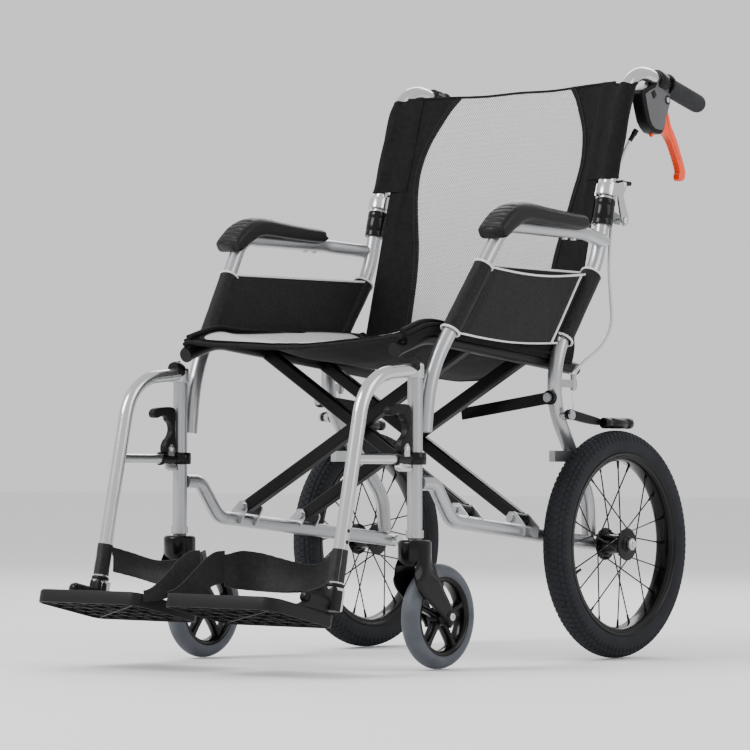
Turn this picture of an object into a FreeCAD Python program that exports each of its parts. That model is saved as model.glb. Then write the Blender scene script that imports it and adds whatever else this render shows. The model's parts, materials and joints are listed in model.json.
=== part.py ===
"""Folding transit wheelchair, millimetres, +Z up, front towards -Y, the user's left towards +X.

The origin is on the floor, midway across the width and the length. Stations along the chair are
given as distances behind the rear axle (negative is ahead of it), heights are above the floor.
"""
import FreeCAD, Part
import math
import os
import Sketcher
from FreeCAD import Placement, Rotation, Vector

os.makedirs("parts", exist_ok=True)
doc = FreeCAD.newDocument("transit_wheelchair")
sheet = doc.addObject("Spreadsheet::Sheet", "dims")

DIMS = {
    "axle_y": 260.2,
    "wheel_radius": 175.0,
    "wheel_x": 247.0,
    "tyre_section": 22.0,
    "rim_outer": 139.0,
    "rim_inner": 127.5,
    "rim_half_width": 17.0,
    "hub_half_length": 25.5,
    "hub_radius": 15.0,
    "flange_radius": 25.0,
    "flange_thickness": 3.0,
    "axle_radius": 6.0,
    "running_gap": 0.05,
    "spoke_radius": 1.0,
    "spoke_count": 20,
    "caster_radius": 76.0,
    "caster_half_width": 15.0,
    "caster_rim": 57.0,
    "caster_trail": 55.0,
    "caster_axle_radius": 4.0,
    "post_x": 228.0,
    "post_station": -475.0,
    "post_radius": 11.0,
    "post_bottom": 190.0,
    "post_top": 419.0,
    "stem_radius": 7.95,
    "tube_radius": 11.0,
    "hanger_x": 226.0,
    "hanger_radius": 10.3,
    "rail_radius": 10.0,
    "brace_depth": 20.0,
    "brace_width": 15.0,
    "brace_pivot_x": 207.0,
    "brace_rail_x": 203.0,
    "brace_rise": 243.6,
    "brace_slope": 0.1,
    "bolt_radius": 4.0,
    "grip_radius": 15.0,
    "pad_width": 52.0,
    "pad_x": 258.0,
    "fabric": 5.0,
    "plate_length": 130.0,
    "plate_thickness": 19.0,
    "plate_inner_x": 25.0,
    "plate_pin_radius": 4.95,
    "cane_x": 227.0,
}
for row, (alias, value) in enumerate(DIMS.items(), start=1):
    sheet.set(f"A{row}", alias)
    sheet.set(f"B{row}", str(value))
    sheet.setAlias(f"B{row}", alias)
doc.recompute()

nodes = {}


def dim(alias):
    """A driving dimension, read back from the sheet."""
    return float(getattr(sheet, alias))


def at(across, station, height):
    """A point from its distance right of the middle, behind the rear axle and above the floor."""
    return Vector(across, dim("axle_y") + station, height)


def unit(vector):
    return Vector(vector).normalize()


# ---------------------------------------------------------------- shape helpers

def bent_wire(points, radii):
    """Straight runs joined by tangent arcs; radii has one value for each inner point."""
    edges = []
    start = points[0]
    for corner, after, radius in zip(points[1:-1], points[2:], radii):
        arriving = unit(corner - start)
        leaving = unit(after - corner)
        half_turn = arriving.getAngle(leaving) / 2
        setback = radius * math.tan(half_turn)
        arc_start = corner - arriving * setback
        arc_end = corner + leaving * setback
        inward = unit(leaving - arriving)
        centre = corner + inward * (radius / math.cos(half_turn))
        middle = centre - inward * radius
        edges.append(Part.LineSegment(start, arc_start).toShape())
        edges.append(Part.Arc(arc_start, middle, arc_end).toShape())
        start = arc_end
    edges.append(Part.LineSegment(start, points[-1]).toShape())
    return Part.Wire(edges)


def rod(points, radii, radius):
    """A round bar along a bent wire."""
    wire = bent_wire(points, radii)
    heading = unit(points[1] - points[0])
    circle = Part.Wire(Part.makeCircle(radius, points[0], heading))
    return wire.makePipeShell([circle], True, False)


def straight(start, end, radius):
    """A round bar between two points."""
    return Part.makeCylinder(radius, (end - start).Length, start, end - start)


def plate(outline, across, thickness):
    """A flat plate in a fore-and-aft plane, from (station, height) points."""
    points = [at(across - thickness / 2, station, height) for station, height in outline]
    return Part.Face(Part.makePolygon(points + points[:1])).extrude(Vector(thickness, 0, 0))


def softened(shape, radius, keep=lambda edge: True):
    """The shape with its chosen edges rounded."""
    return shape.makeFillet(radius, [edge for edge in shape.Edges if keep(edge)])


def joined(*shapes):
    """One solid out of shapes that overlap."""
    return shapes[0].multiFuse(list(shapes[1:])).removeSplitter()


def bundle(*shapes):
    """Separate solids that share one node."""
    return Part.makeCompound([solid for shape in shapes for solid in shape.Solids])


# ---------------------------------------------------------------- document helpers

def add_shape(label, shape):
    feature = doc.addObject("Part::Feature", label)
    feature.Shape = shape
    feature.Label = label
    nodes[label] = feature
    return feature


def add_pair(name, shape):
    """A piece on the left and its mirror image on the right."""
    left = add_shape(f"{name}_left", shape)
    mirror_object(left, name)
    return left


def mirror_object(left, name):
    right = doc.addObject("Part::Mirroring", f"{name}_right")
    right.Source = left
    right.Base = Vector(0, 0, 0)
    right.Normal = Vector(1, 0, 0)
    right.Label = f"{name}_right"
    nodes[right.Label] = right
    return right


def turned_pair(name, outline, centre):
    """A turned piece on an axis along X: a sketch of (along, radius) expressions, revolved.

    In the expressions a dollar sign stands for the sheet's name.
    """
    outline = [(along.replace("$", "dims."), radius.replace("$", "dims.")) for along, radius in outline]
    body = doc.addObject("PartDesign::Body", f"{name}_left")
    sketch = body.newObject("Sketcher::SketchObject", f"{name}_profile")
    plane = next(o for o in body.Origin.OriginFeatures if o.Role == "XY_Plane")
    sketch.AttachmentSupport = [(plane, "")]
    sketch.MapMode = "FlatFace"
    corners = [Vector(sheet.evalExpression(a), sheet.evalExpression(r), 0) for a, r in outline]
    count = len(corners)
    for i in range(count):
        sketch.addGeometry(Part.LineSegment(corners[i], corners[(i + 1) % count]), False)
    for i in range(count):
        sketch.addConstraint(Sketcher.Constraint("Coincident", i, 2, (i + 1) % count, 1))
    for i, (along, radius) in enumerate(outline):
        for kind, value, text in (("DistanceX", corners[i].x, along), ("DistanceY", corners[i].y, radius)):
            index = sketch.addConstraint(Sketcher.Constraint(kind, -1, 1, i, 1, value))
            sketch.setExpression(f"Constraints[{index}]", text)
    spin = body.newObject("PartDesign::Revolution", f"{name}_turned")
    spin.Profile = (sketch, [""])
    spin.ReferenceAxis = (sketch, ["H_Axis"])
    spin.Angle = 360
    body.Label = f"{name}_left"
    body.Placement = Placement(centre, Rotation())
    doc.recompute()
    nodes[body.Label] = body
    mirror_object(body, name)
    return body


# ---------------------------------------------------------------- side frames

post_foot = at(dim("post_x"), dim("post_station"), dim("post_bottom"))
post_head = at(dim("post_x"), dim("post_station"), dim("post_top"))
stem_bore = dim("stem_radius") + dim("running_gap")
SOCKET_DEPTH = 55.0
COLLAR_RADIUS = 13.0

post = straight(post_foot, post_head, dim("post_radius"))
collar = Part.makeCylinder(COLLAR_RADIUS, 11, post_foot)
foot_bore = Part.makeCylinder(stem_bore, SOCKET_DEPTH, post_foot)
head_bore = Part.makeCylinder(stem_bore, SOCKET_DEPTH, post_head - Vector(0, 0, SOCKET_DEPTH))
add_pair("front_post", joined(post, collar).cut(foot_bore).cut(head_bore))

back_post_route = [
    at(227, 0.2, 712),
    at(227, -25, 608),
    at(226, -160, 424),
    at(204.5, -15, 246),
    at(203, -10, 188),
]
back_post_bends = [150, 115, 70]
back_post = rod(back_post_route, back_post_bends, dim("tube_radius"))

rail_route = [
    at(228, -463.8, 269),
    at(228, -431, 269),
    at(227, -389, 214),
    at(203, 14, 174),
]
rail_bends = [26, 34]
lower_rail_tube = rod(rail_route, rail_bends, dim("tube_radius"))

arm_route = [
    at(228, -452.9, 342),
    at(229, -443, 430),
    at(257, -303, 649),
    at(257, -100, 649),
    at(229, -10.5, 642),
]
arm_bends = [200, 45, 60]
armrest_tube = rod(arm_route, arm_bends, dim("tube_radius"))

post_wall = straight(post_foot, post_head, dim("post_radius") + 0.02)
back_post_wall = rod(back_post_route, back_post_bends, dim("tube_radius") + 0.02)
rail_wall = rod(rail_route, rail_bends, dim("tube_radius") + 0.02)
arm_wall = rod(arm_route, arm_bends, dim("tube_radius") + 0.3)
lower_rail_tube = lower_rail_tube.cut(post_wall)
armrest_tube = armrest_tube.cut(post_wall).cut(back_post_wall)
back_post = back_post.cut(rail_wall)

# the brace hangs on a line that falls towards the back, so its plane leans by the same slope
lean = math.atan(dim("brace_slope"))
brace_axis = Vector(0, math.cos(lean), -math.sin(lean))
brace_up = Vector(0, math.sin(lean), math.cos(lean))
BRACKET_STATIONS = (-336.0, -198.0)
PIVOT_STATION = -352.0
PIVOT_HEIGHT = 230.0
EAR_GAP = 32.0
EAR_THICKNESS = 3.0


def pivot_point(across, station, rise=0.0):
    """A point of the brace: across, along its pivot line by station, and up in its own plane."""
    along = (station - PIVOT_STATION) / math.cos(lean)
    return at(across, PIVOT_STATION, PIVOT_HEIGHT) + brace_axis * along + brace_up * rise


def leaning(shape):
    """Turn a shape made about the origin with its pivot along Y into the brace's lean."""
    turned = shape.copy()
    lean_back = Placement(Vector(), Rotation(Vector(1, 0, 0), -math.degrees(lean)))
    turned.Placement = lean_back.multiply(shape.Placement)
    return turned


def bracket(station):
    """Two ears that stand on the lower rail and hold the brace's pivot bolt."""
    centre = pivot_point(dim("brace_pivot_x"), station)
    ears = []
    for side in (-1, 1):
        inner = side * EAR_GAP / 2
        low = min(inner, inner + side * EAR_THICKNESS)
        corners = [(-9, 3), (-9, -2), (2, -26), (26, -26), (26, -10), (6, 9.5), (-4, 9.5)]
        outline = [Vector(x, low, z) for x, z in corners]
        face = Part.Face(Part.makePolygon(outline + outline[:1]))
        ears.append(face.extrude(Vector(0, EAR_THICKNESS, 0)))
    shape = leaning(Part.makeCompound(ears))
    shape.Placement = Placement(centre, Rotation()).multiply(shape.Placement)
    return shape


def pivot_bolt(station):
    """The bolt through one bracket, with its head and nut."""
    centre = pivot_point(dim("brace_pivot_x"), station)
    half = EAR_GAP / 2 + EAR_THICKNESS
    radius = dim("bolt_radius")
    shank = Part.makeCylinder(radius, 2 * half, Vector(0, -half, 0), Vector(0, 1, 0))
    head = Part.makeCylinder(6, 4, Vector(0, -half - 4, 0), Vector(0, 1, 0))
    nut = Part.makeCylinder(6, 4, Vector(0, half, 0), Vector(0, 1, 0))
    shape = leaning(joined(shank, head, nut))
    shape.Placement = Placement(centre, Rotation()).multiply(shape.Placement)
    return shape


brackets = [bracket(station) for station in BRACKET_STATIONS]
bolts = [pivot_bolt(station) for station in BRACKET_STATIONS]
axle_bore = straight(at(180, 0, dim("wheel_radius")), at(230, 0, dim("wheel_radius")), dim("axle_radius"))
lower_rail = joined(lower_rail_tube, *brackets, *bolts)
add_pair("lower_rail", lower_rail.cut(axle_bore))
add_pair("armrest_tube", armrest_tube)

# hinge block on top of the back post: a sleeve round the tube and an ear behind it
HINGE_STATION = 28.0
HINGE_HEIGHT = 676.0
HINGE_PIN = 4.0
sleeve_axis = unit(back_post_route[0] - back_post_route[1])
sleeve_foot = back_post_route[1] + sleeve_axis * 62
sleeve_head = back_post_route[0] - sleeve_axis * 4
sleeve = straight(sleeve_foot, sleeve_head, 14.5).cut(back_post_wall)
ear_outline = [
    (2, 694),
    (HINGE_STATION + 3, 684),
    (HINGE_STATION + 7, 676),
    (HINGE_STATION, 669),
    (-2, 672),
]
ear = plate(ear_outline, dim("cane_x"), 12).cut(straight(sleeve_foot, sleeve_head, 14.4))
hinge_bore = straight(
    at(200, HINGE_STATION, HINGE_HEIGHT),
    at(254, HINGE_STATION, HINGE_HEIGHT),
    HINGE_PIN + dim("running_gap"),
)
BRAKE_STATION = -117.0
BRAKE_HEIGHT = 372.0
brake_pin_end = at(247, BRAKE_STATION, BRAKE_HEIGHT)
brake_pin = straight(at(228, BRAKE_STATION, BRAKE_HEIGHT), brake_pin_end, dim("bolt_radius"))
brake_washer = straight(at(230, BRAKE_STATION, BRAKE_HEIGHT), at(238, BRAKE_STATION, BRAKE_HEIGHT), 7)
brake_nut = straight(at(245.5, BRAKE_STATION, BRAKE_HEIGHT), at(249, BRAKE_STATION, BRAKE_HEIGHT), 7)
stay_pin = straight(at(226, -130, 398), at(226, -150, 398), dim("bolt_radius"))
stay_nut = straight(at(226, -149, 398), at(226, -153, 398), 7)
stop_plate = plate([(-132, 414), (-84, 414), (-84, 426), (-132, 426)], 231, 4)
stop_barrel = straight(at(231, -91, 410), at(231, -91, 434), 4.5)
clamp_block = plate([(-125, 301), (-60, 301), (-60, 318), (-125, 318)], 216, 11)
back_post = joined(
    back_post, brake_pin, brake_washer, brake_nut, stay_pin, stay_nut, stop_plate, stop_barrel, clamp_block
)
add_pair("back_post", bundle(back_post, joined(sleeve, ear).cut(hinge_bore)))

# ---------------------------------------------------------------- rear wheels

axle_height = dim("wheel_radius")
wheel_centre = at(dim("wheel_x"), 0, axle_height)
axle_inner = at(184, 0, axle_height)
axle_outer = at(dim("wheel_x") + dim("hub_half_length") + 1, 0, axle_height)
axle = straight(axle_inner, axle_outer, dim("axle_radius") - 0.01)
axle_head = straight(axle_outer, axle_outer + Vector(4, 0, 0), 9)
axle_nut = straight(axle_inner - Vector(5, 0, 0), axle_inner, 9)
add_pair("rear_axle", joined(axle, axle_head, axle_nut))

turned_pair(
    "rear_hub",
    [
        ("-$hub_half_length", "$axle_radius + $running_gap"),
        ("$hub_half_length", "$axle_radius + $running_gap"),
        ("$hub_half_length", "$hub_radius"),
        ("$hub_half_length - 4", "$hub_radius"),
        ("$hub_half_length - 4", "$flange_radius"),
        ("$hub_half_length - 4 - $flange_thickness", "$flange_radius"),
        ("$hub_half_length - 4 - $flange_thickness", "$hub_radius"),
        ("4 + $flange_thickness - $hub_half_length", "$hub_radius"),
        ("4 + $flange_thickness - $hub_half_length", "$flange_radius"),
        ("4 - $hub_half_length", "$flange_radius"),
        ("4 - $hub_half_length", "$hub_radius"),
        ("-$hub_half_length", "$hub_radius"),
    ],
    wheel_centre,
)
turned_pair(
    "rear_rim",
    [
        ("-$rim_half_width", "$rim_outer"),
        ("-$rim_half_width", "$rim_outer - 3"),
        ("2 - $rim_half_width", "$rim_inner + 3"),
        ("6 - $rim_half_width", "$rim_inner"),
        ("$rim_half_width - 6", "$rim_inner"),
        ("$rim_half_width - 2", "$rim_inner + 3"),
        ("$rim_half_width", "$rim_outer - 3"),
        ("$rim_half_width", "$rim_outer"),
    ],
    wheel_centre,
)

tyre = doc.addObject("Part::Torus", "tyre_round")
tyre.setExpression("Radius1", "dims.wheel_radius - dims.tyre_section")
tyre.setExpression("Radius2", "dims.tyre_section")
tyre_seat = doc.addObject("Part::Cylinder", "tyre_seat")
tyre_seat.setExpression("Radius", "dims.rim_outer + 0.1")
tyre_seat.setExpression("Height", "dims.tyre_section * 4")
tyre_seat.Placement = Placement(Vector(0, 0, -2 * dim("tyre_section")), Rotation())
rear_tyre = doc.addObject("Part::Cut", "rear_tyre_left")
rear_tyre.Base = tyre
rear_tyre.Tool = tyre_seat
rear_tyre.Placement = Placement(wheel_centre, Rotation(Vector(0, 1, 0), 90))
rear_tyre.Label = "rear_tyre_left"
nodes["rear_tyre_left"] = rear_tyre
mirror_object(rear_tyre, "rear_tyre")


def spoke(index):
    """One spoke: from a flange, leaning round the wheel, to the middle of the rim."""
    step = 2 * math.pi / dim("spoke_count")
    side = 1 if index % 2 else -1
    swing = math.radians(24) * (1 if index % 4 < 2 else -1)
    rim_angle = index * step
    hub_angle = rim_angle + swing * 2.2
    flange_middle = dim("hub_half_length") - 4 - dim("flange_thickness") / 2
    hub_reach = dim("flange_radius") - 2
    rim_reach = dim("rim_inner") + 1
    foot = Vector(side * flange_middle, hub_reach * math.cos(hub_angle), hub_reach * math.sin(hub_angle))
    tip = Vector(side * 3, rim_reach * math.cos(rim_angle), rim_reach * math.sin(rim_angle))
    return straight(wheel_centre + foot, wheel_centre + tip, dim("spoke_radius"))


add_pair("rear_spokes", bundle(*[spoke(i) for i in range(int(dim("spoke_count")))]))

# ---------------------------------------------------------------- casters

caster_station = dim("post_station") + dim("caster_trail")
caster_centre = at(dim("post_x"), caster_station, dim("caster_radius"))
CROWN_TOP = 187.5
CROWN_FOOT = 154.0
BLADE_INNER = 18.5
BLADE_THICKNESS = 5.0

crown = Part.makeCylinder(23.5, CROWN_TOP - CROWN_FOOT, at(dim("post_x"), dim("post_station"), CROWN_FOOT))
crown = softened(crown, 3, lambda edge: edge.BoundBox.ZMin > CROWN_TOP - 1)
stem_foot = at(dim("post_x"), dim("post_station"), CROWN_TOP - 2)
stem = Part.makeCylinder(dim("stem_radius"), SOCKET_DEPTH - 7, stem_foot)
blade_outline = [
    (dim("post_station") - 22, CROWN_FOOT + 14),
    (dim("post_station") - 22, 128),
    (dim("post_station") - 10, 112),
    (caster_station - 12, 72),
    (caster_station - 4, 66),
    (caster_station + 5, 66),
    (caster_station + 10, 76),
    (caster_station + 4, 92),
    (dim("post_station") + 24, 146),
    (dim("post_station") + 22, CROWN_FOOT + 14),
]
blades = [
    plate(blade_outline, dim("post_x") + side * (BLADE_INNER + BLADE_THICKNESS / 2), BLADE_THICKNESS)
    for side in (-1, 1)
]
caster_axle_half = BLADE_INNER + BLADE_THICKNESS + 3
caster_axle = straight(
    caster_centre - Vector(caster_axle_half, 0, 0),
    caster_centre + Vector(caster_axle_half, 0, 0),
    dim("caster_axle_radius"),
)
add_pair("caster_fork", joined(crown, stem, *blades, caster_axle))

turned_pair(
    "caster_tyre",
    [
        ("-11", "$caster_rim + 0.05"),
        ("11", "$caster_rim + 0.05"),
        ("$caster_half_width", "$caster_rim + 6"),
        ("$caster_half_width - 1.5", "$caster_radius - 6"),
        ("$caster_half_width - 7", "$caster_radius - 1.2"),
        ("$caster_half_width - 12", "$caster_radius"),
        ("12 - $caster_half_width", "$caster_radius"),
        ("7 - $caster_half_width", "$caster_radius - 1.2"),
        ("1.5 - $caster_half_width", "$caster_radius - 6"),
        ("-$caster_half_width", "$caster_rim + 6"),
    ],
    caster_centre,
)
caster_bore = dim("caster_axle_radius") + dim("running_gap")
hub_ring = Part.makeCylinder(dim("caster_rim"), 22, Vector(-11, 0, 0), Vector(1, 0, 0))
hub_ring = hub_ring.cut(Part.makeCylinder(dim("caster_rim") - 7, 24, Vector(-12, 0, 0), Vector(1, 0, 0)))
hub_boss = Part.makeCylinder(13, 34, Vector(-17, 0, 0), Vector(1, 0, 0))
hub_arms = []
for turn in range(5):
    arm = Part.makeBox(12, 11, dim("caster_rim") - 14, Vector(-6, -5.5, 9))
    arm.rotate(Vector(0, 0, 0), Vector(1, 0, 0), turn * 72)
    hub_arms.append(arm)
caster_hub = joined(hub_ring, hub_boss, *hub_arms)
caster_hub = caster_hub.cut(Part.makeCylinder(caster_bore, 40, Vector(-20, 0, 0), Vector(1, 0, 0)))
caster_hub.translate(caster_centre)
add_pair("caster_hub", caster_hub)

# ---------------------------------------------------------------- cross brace

half_depth = dim("brace_depth") / 2
BRACE_SHIFT = 8.2
BUSH_RADIUS = 9.5
BUSH_LENGTH = 29.0
CENTRE_PIN = 5.0
brace_run = dim("brace_pivot_x") + dim("brace_rail_x")
brace_angle = math.atan2(dim("brace_rise"), brace_run)
brace_length = math.hypot(dim("brace_rise"), brace_run)
centre_rise = dim("brace_pivot_x") * math.tan(brace_angle)


def brace_tube(station, shift):
    """One brace tube of the set that climbs towards +X, with its bush on the pivot."""
    width = dim("brace_width")
    corner = Vector(4, shift - width / 2, -half_depth)
    bar = Part.makeBox(brace_length - 4, width, dim("brace_depth"), corner)
    bar = softened(bar, 3, lambda edge: edge.BoundBox.XLength > 100)
    bush = Part.makeCylinder(BUSH_RADIUS, BUSH_LENGTH, Vector(0, -BUSH_LENGTH / 2, 0), Vector(0, 1, 0))
    shape = joined(bar, bush)
    bore = dim("bolt_radius") + dim("running_gap")
    shape = shape.cut(Part.makeCylinder(bore, 60, Vector(0, -30, 0), Vector(0, 1, 0)))
    shape.rotate(Vector(0, 0, 0), Vector(0, 1, 0), -math.degrees(brace_angle))
    shape = leaning(shape)
    to_pivot = Placement(pivot_point(-dim("brace_pivot_x"), station), Rotation())
    shape.Placement = to_pivot.multiply(shape.Placement)
    return shape


def centre_rod(station, radius, low, high):
    """A round bar on the brace's middle axis, from low to high along it."""
    centre = pivot_point(0, station, centre_rise)
    return straight(centre + brace_axis * low, centre + brace_axis * high, radius)


def mirrored(shape):
    return shape.mirror(Vector(0, 0, 0), Vector(1, 0, 0))


seat_rail_route = [
    at(dim("brace_rail_x"), -487, 461),
    at(dim("brace_rail_x"), -422, 481.8),
    at(dim("brace_rail_x"), -47, 444.3),
]
seat_rail = rod(seat_rail_route, [110], dim("rail_radius"))
seat_rail_wall = rod(seat_rail_route, [110], dim("rail_radius") + 0.02)
seat_rail_tip = seat_rail_route[0] - unit(seat_rail_route[1] - seat_rail_route[0]) * 5
seat_rail_end = straight(seat_rail_tip, seat_rail_route[0], dim("rail_radius") + 1)
add_shape("seat_rail_left", bundle(seat_rail, seat_rail_end))
mirror_object(nodes["seat_rail_left"], "seat_rail")

pin_bore = CENTRE_PIN + dim("running_gap")
brace_a_tubes = [
    brace_tube(station, -BRACE_SHIFT).cut(centre_rod(station, pin_bore, -40, 40)).cut(seat_rail_wall)
    for station in BRACKET_STATIONS
]
add_shape("cross_brace_a", bundle(*brace_a_tubes))
brace_b_tubes = []
for station in BRACKET_STATIONS:
    tube = mirrored(brace_tube(station, BRACE_SHIFT).cut(seat_rail_wall))
    pin = centre_rod(station, CENTRE_PIN, -19, BRACE_SHIFT)
    pin_head = centre_rod(station, 8, -20, -BRACE_SHIFT - dim("brace_width") / 2 - 0.3)
    brace_b_tubes.append(joined(tube, pin, pin_head))
add_shape("cross_brace_b", bundle(*brace_b_tubes))

# stay that swings on the back post, in a plane of its own behind the braces
STAY_STATION = -141.5
STAY_HEIGHT = 398.0
STAY_X = 226.0
STAY_LENGTH = 170.0
STAY_THICKNESS = 4.0
STAY_DROOP = 8.0
stay_hub = at(STAY_X, STAY_STATION, STAY_HEIGHT)
stay_bar = Part.makeBox(STAY_LENGTH, STAY_THICKNESS, 18, stay_hub - Vector(STAY_LENGTH, STAY_THICKNESS, 9))
stay_bar.rotate(stay_hub, Vector(0, 1, 0), -STAY_DROOP)
stay_eye = straight(stay_hub - Vector(0, 7, 0), stay_hub, 11)
stay_bore_radius = dim("bolt_radius") + dim("running_gap")
stay_bore = straight(stay_hub - Vector(0, 30, 0), stay_hub + Vector(0, 20, 0), stay_bore_radius)
add_pair("stay_link", joined(stay_bar, stay_eye).cut(stay_bore))

# ---------------------------------------------------------------- hangers and footplates

FOOT_STATION = -653.0
FOOT_HEIGHT = 112.0
TOE_UP = 12.33
hanger_foot = at(dim("hanger_x"), FOOT_STATION, FOOT_HEIGHT)
foot_placement = Placement(at(0, FOOT_STATION, FOOT_HEIGHT), Rotation(Vector(1, 0, 0), -TOE_UP))


def on_foot(shape):
    """Put a shape drawn level (front towards -Y, up along the hanger tube) onto the hanger's foot."""
    placed = shape.copy()
    placed.Placement = foot_placement.multiply(shape.Placement)
    return placed


def foot_bar(across, up, front, back, radius):
    """A round bar along the footplate's pivot direction; front and back are distances ahead of the tube."""
    return Part.makeCylinder(radius, front - back, Vector(across, -front, up), Vector(0, 1, 0))


PLATE_PIVOT_X = 222.0
PLATE_PIVOT_UP = -12.0
plate_bore = dim("plate_pin_radius") + dim("running_gap")
RING_LOW = 296.0
RING_HIGH = 312.0
BAR_HEIGHT = 303.0
BAR_END = -611.5

hanger_route = [at(dim("post_x"), dim("post_station"), 432), at(dim("hanger_x"), -586, 420), hanger_foot]
hanger_tube = rod(hanger_route, [75], dim("hanger_radius"))
elbow_cap = Part.makeCylinder(13, 22.5, at(dim("post_x"), dim("post_station"), 419.5))
elbow_cap = softened(elbow_cap, 5, lambda edge: edge.BoundBox.ZMin > 441)
elbow_pin = Part.makeCylinder(dim("stem_radius"), 36, at(dim("post_x"), dim("post_station"), 385))
ring_foot = at(dim("post_x"), dim("post_station"), RING_LOW)
ring = Part.makeCylinder(16, RING_HIGH - RING_LOW, ring_foot)
link = straight(at(dim("post_x"), -488, BAR_HEIGHT), at(dim("hanger_x"), BAR_END, BAR_HEIGHT), 7.3)
hook = plate([(-512, 297), (-512, 288), (-489, 286), (-489, 297)], dim("post_x"), 9)
ring_bore = Part.makeCylinder(dim("post_radius") + 0.1, 40, ring_foot - Vector(0, 0, 12))
LATCH_STATION = -503.0
LATCH_HEIGHT = 318.0
latch_ear_outline = [(-509, 304), (-509, 320), (-505, 325), (-501, 325), (-497, 320), (-497, 304)]
latch_ears = [plate(latch_ear_outline, dim("post_x") + side * 7, 3) for side in (-1, 1)]
latch_pin_end = at(dim("post_x") + 9, LATCH_STATION, LATCH_HEIGHT)
latch_pin = straight(at(dim("post_x") - 9, LATCH_STATION, LATCH_HEIGHT), latch_pin_end, 3)
clamp = on_foot(softened(Part.makeBox(22, 21, 31, Vector(214, -9, -21)), 2))
clamp_collar = on_foot(Part.makeCylinder(12.5, 6, Vector(dim("hanger_x"), 0, 7)))
clamp_bore = on_foot(foot_bar(PLATE_PIVOT_X, PLATE_PIVOT_UP, 20, -20, plate_bore))
hanger_head = joined(hanger_tube, elbow_cap, elbow_pin, ring, link, hook)
hanger = joined(hanger_head, *latch_ears, latch_pin, clamp, clamp_collar)
add_pair("hanger", hanger.cut(ring_bore).cut(clamp_bore))

latch_eye_x = dim("post_x")
latch_eye = straight(
    at(latch_eye_x - 5, LATCH_STATION, LATCH_HEIGHT),
    at(latch_eye_x + 5, LATCH_STATION, LATCH_HEIGHT),
    5.5,
)
latch_stem = straight(at(latch_eye_x, LATCH_STATION, 321), at(latch_eye_x, LATCH_STATION, 374), 4.5)
latch_grip = straight(at(latch_eye_x, -545, 377), at(latch_eye_x, -490, 377), 5)
latch_bore = straight(
    at(latch_eye_x - 6, LATCH_STATION, LATCH_HEIGHT),
    at(latch_eye_x + 6, LATCH_STATION, LATCH_HEIGHT),
    3 + dim("running_gap"),
)
add_pair("hanger_latch", joined(latch_eye, latch_stem, latch_grip).cut(latch_bore))

pin_shank = foot_bar(PLATE_PIVOT_X, PLATE_PIVOT_UP, 57, -14, dim("plate_pin_radius"))
pin_back_head = foot_bar(PLATE_PIVOT_X, PLATE_PIVOT_UP, -12.4, -15.5, 7.5)
pin_front_head = foot_bar(PLATE_PIVOT_X, PLATE_PIVOT_UP, 58.5, 55.4, 7.5)
add_pair("footplate_pin", on_foot(joined(pin_shank, pin_back_head, pin_front_head)))

PLATE_TOP = -26.0
PLATE_BACK = 11.0
plate_width = 229 - dim("plate_inner_x")
plate_depth = dim("plate_length") + PLATE_BACK
plate_low = PLATE_TOP - dim("plate_thickness")
slab_corner = Vector(dim("plate_inner_x"), -dim("plate_length"), plate_low)
slab = Part.makeBox(plate_width, plate_depth, dim("plate_thickness"), slab_corner)
slab = softened(slab, 16, lambda edge: edge.BoundBox.ZLength > dim("plate_thickness") - 1)
RIB_COLUMNS = 6
RIB_ROWS = 4
RIB = 3.0
SKIN = 4.0
cell_width = (plate_width - 10 - RIB * (RIB_COLUMNS - 1)) / RIB_COLUMNS
cell_depth = (plate_depth - 10 - RIB * (RIB_ROWS - 1)) / RIB_ROWS
cells = []
for column in range(RIB_COLUMNS):
    for row in range(RIB_ROWS):
        offset = Vector(5 + column * (cell_width + RIB), 5 + row * (cell_depth + RIB), -1)
        cell = Part.makeBox(cell_width, cell_depth, dim("plate_thickness") - SKIN + 1, slab_corner + offset)
        cells.append(softened(cell, 5, lambda edge: edge.BoundBox.ZLength > 10))
slab = slab.cut(Part.makeCompound(cells))
boss = foot_bar(PLATE_PIVOT_X, PLATE_PIVOT_UP, 55, 10, 9)
web_corner = Vector(PLATE_PIVOT_X - 7, -55, PLATE_TOP - 2)
boss_web = Part.makeBox(14, 45, PLATE_PIVOT_UP - PLATE_TOP + 2, web_corner)
boss_bore = foot_bar(PLATE_PIVOT_X, PLATE_PIVOT_UP, 60, 0, plate_bore)
footplate = joined(slab, boss, boss_web).cut(boss_bore)
add_pair("footplate", on_foot(footplate))

# the heel strap: a loop on the hanger tube, a band across behind the heel, a flap to the footplate
STRAP = 2.5
STRAP_LOW = 124.0
STRAP_HIGH = 176.0
strap_plan = [(213, -640), (180, -617), (150, -606), (110, -602), (70, -611), (36, -632), (23, -655)]


def band(plan, thickness, low, high):
    """A standing strip that follows (across, station) points seen from above."""
    points = [at(x, station, low) for x, station in plan]
    inner = []
    for i, point in enumerate(points):
        heading = unit(points[min(i + 1, len(points) - 1)] - points[max(i - 1, 0)])
        inner.append(point + heading.cross(Vector(0, 0, 1)) * thickness)
    outline = points + inner[::-1]
    return Part.Face(Part.makePolygon(outline + outline[:1])).extrude(Vector(0, 0, high - low))


hanger_clear = dim("hanger_radius") + 0.3
strap_loop = Part.makeCylinder(hanger_clear + STRAP - 0.3, 46, Vector(dim("hanger_x"), 0, 19))
strap_loop = strap_loop.cut(Part.makeCylinder(hanger_clear, 50, Vector(dim("hanger_x"), 0, 17)))
strap_back = band(strap_plan, STRAP, STRAP_LOW, STRAP_HIGH)
strap_back = strap_back.cut(rod(hanger_route, [75], hanger_clear))
flap_outline = [(-653, 124), (-653, 174), (-700, 165), (-775, 140), (-775, 97), (-715, 101)]
strap_flap = plate(flap_outline, 23, STRAP)
add_pair("heel_strap", joined(on_foot(strap_loop), strap_back, strap_flap))

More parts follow.
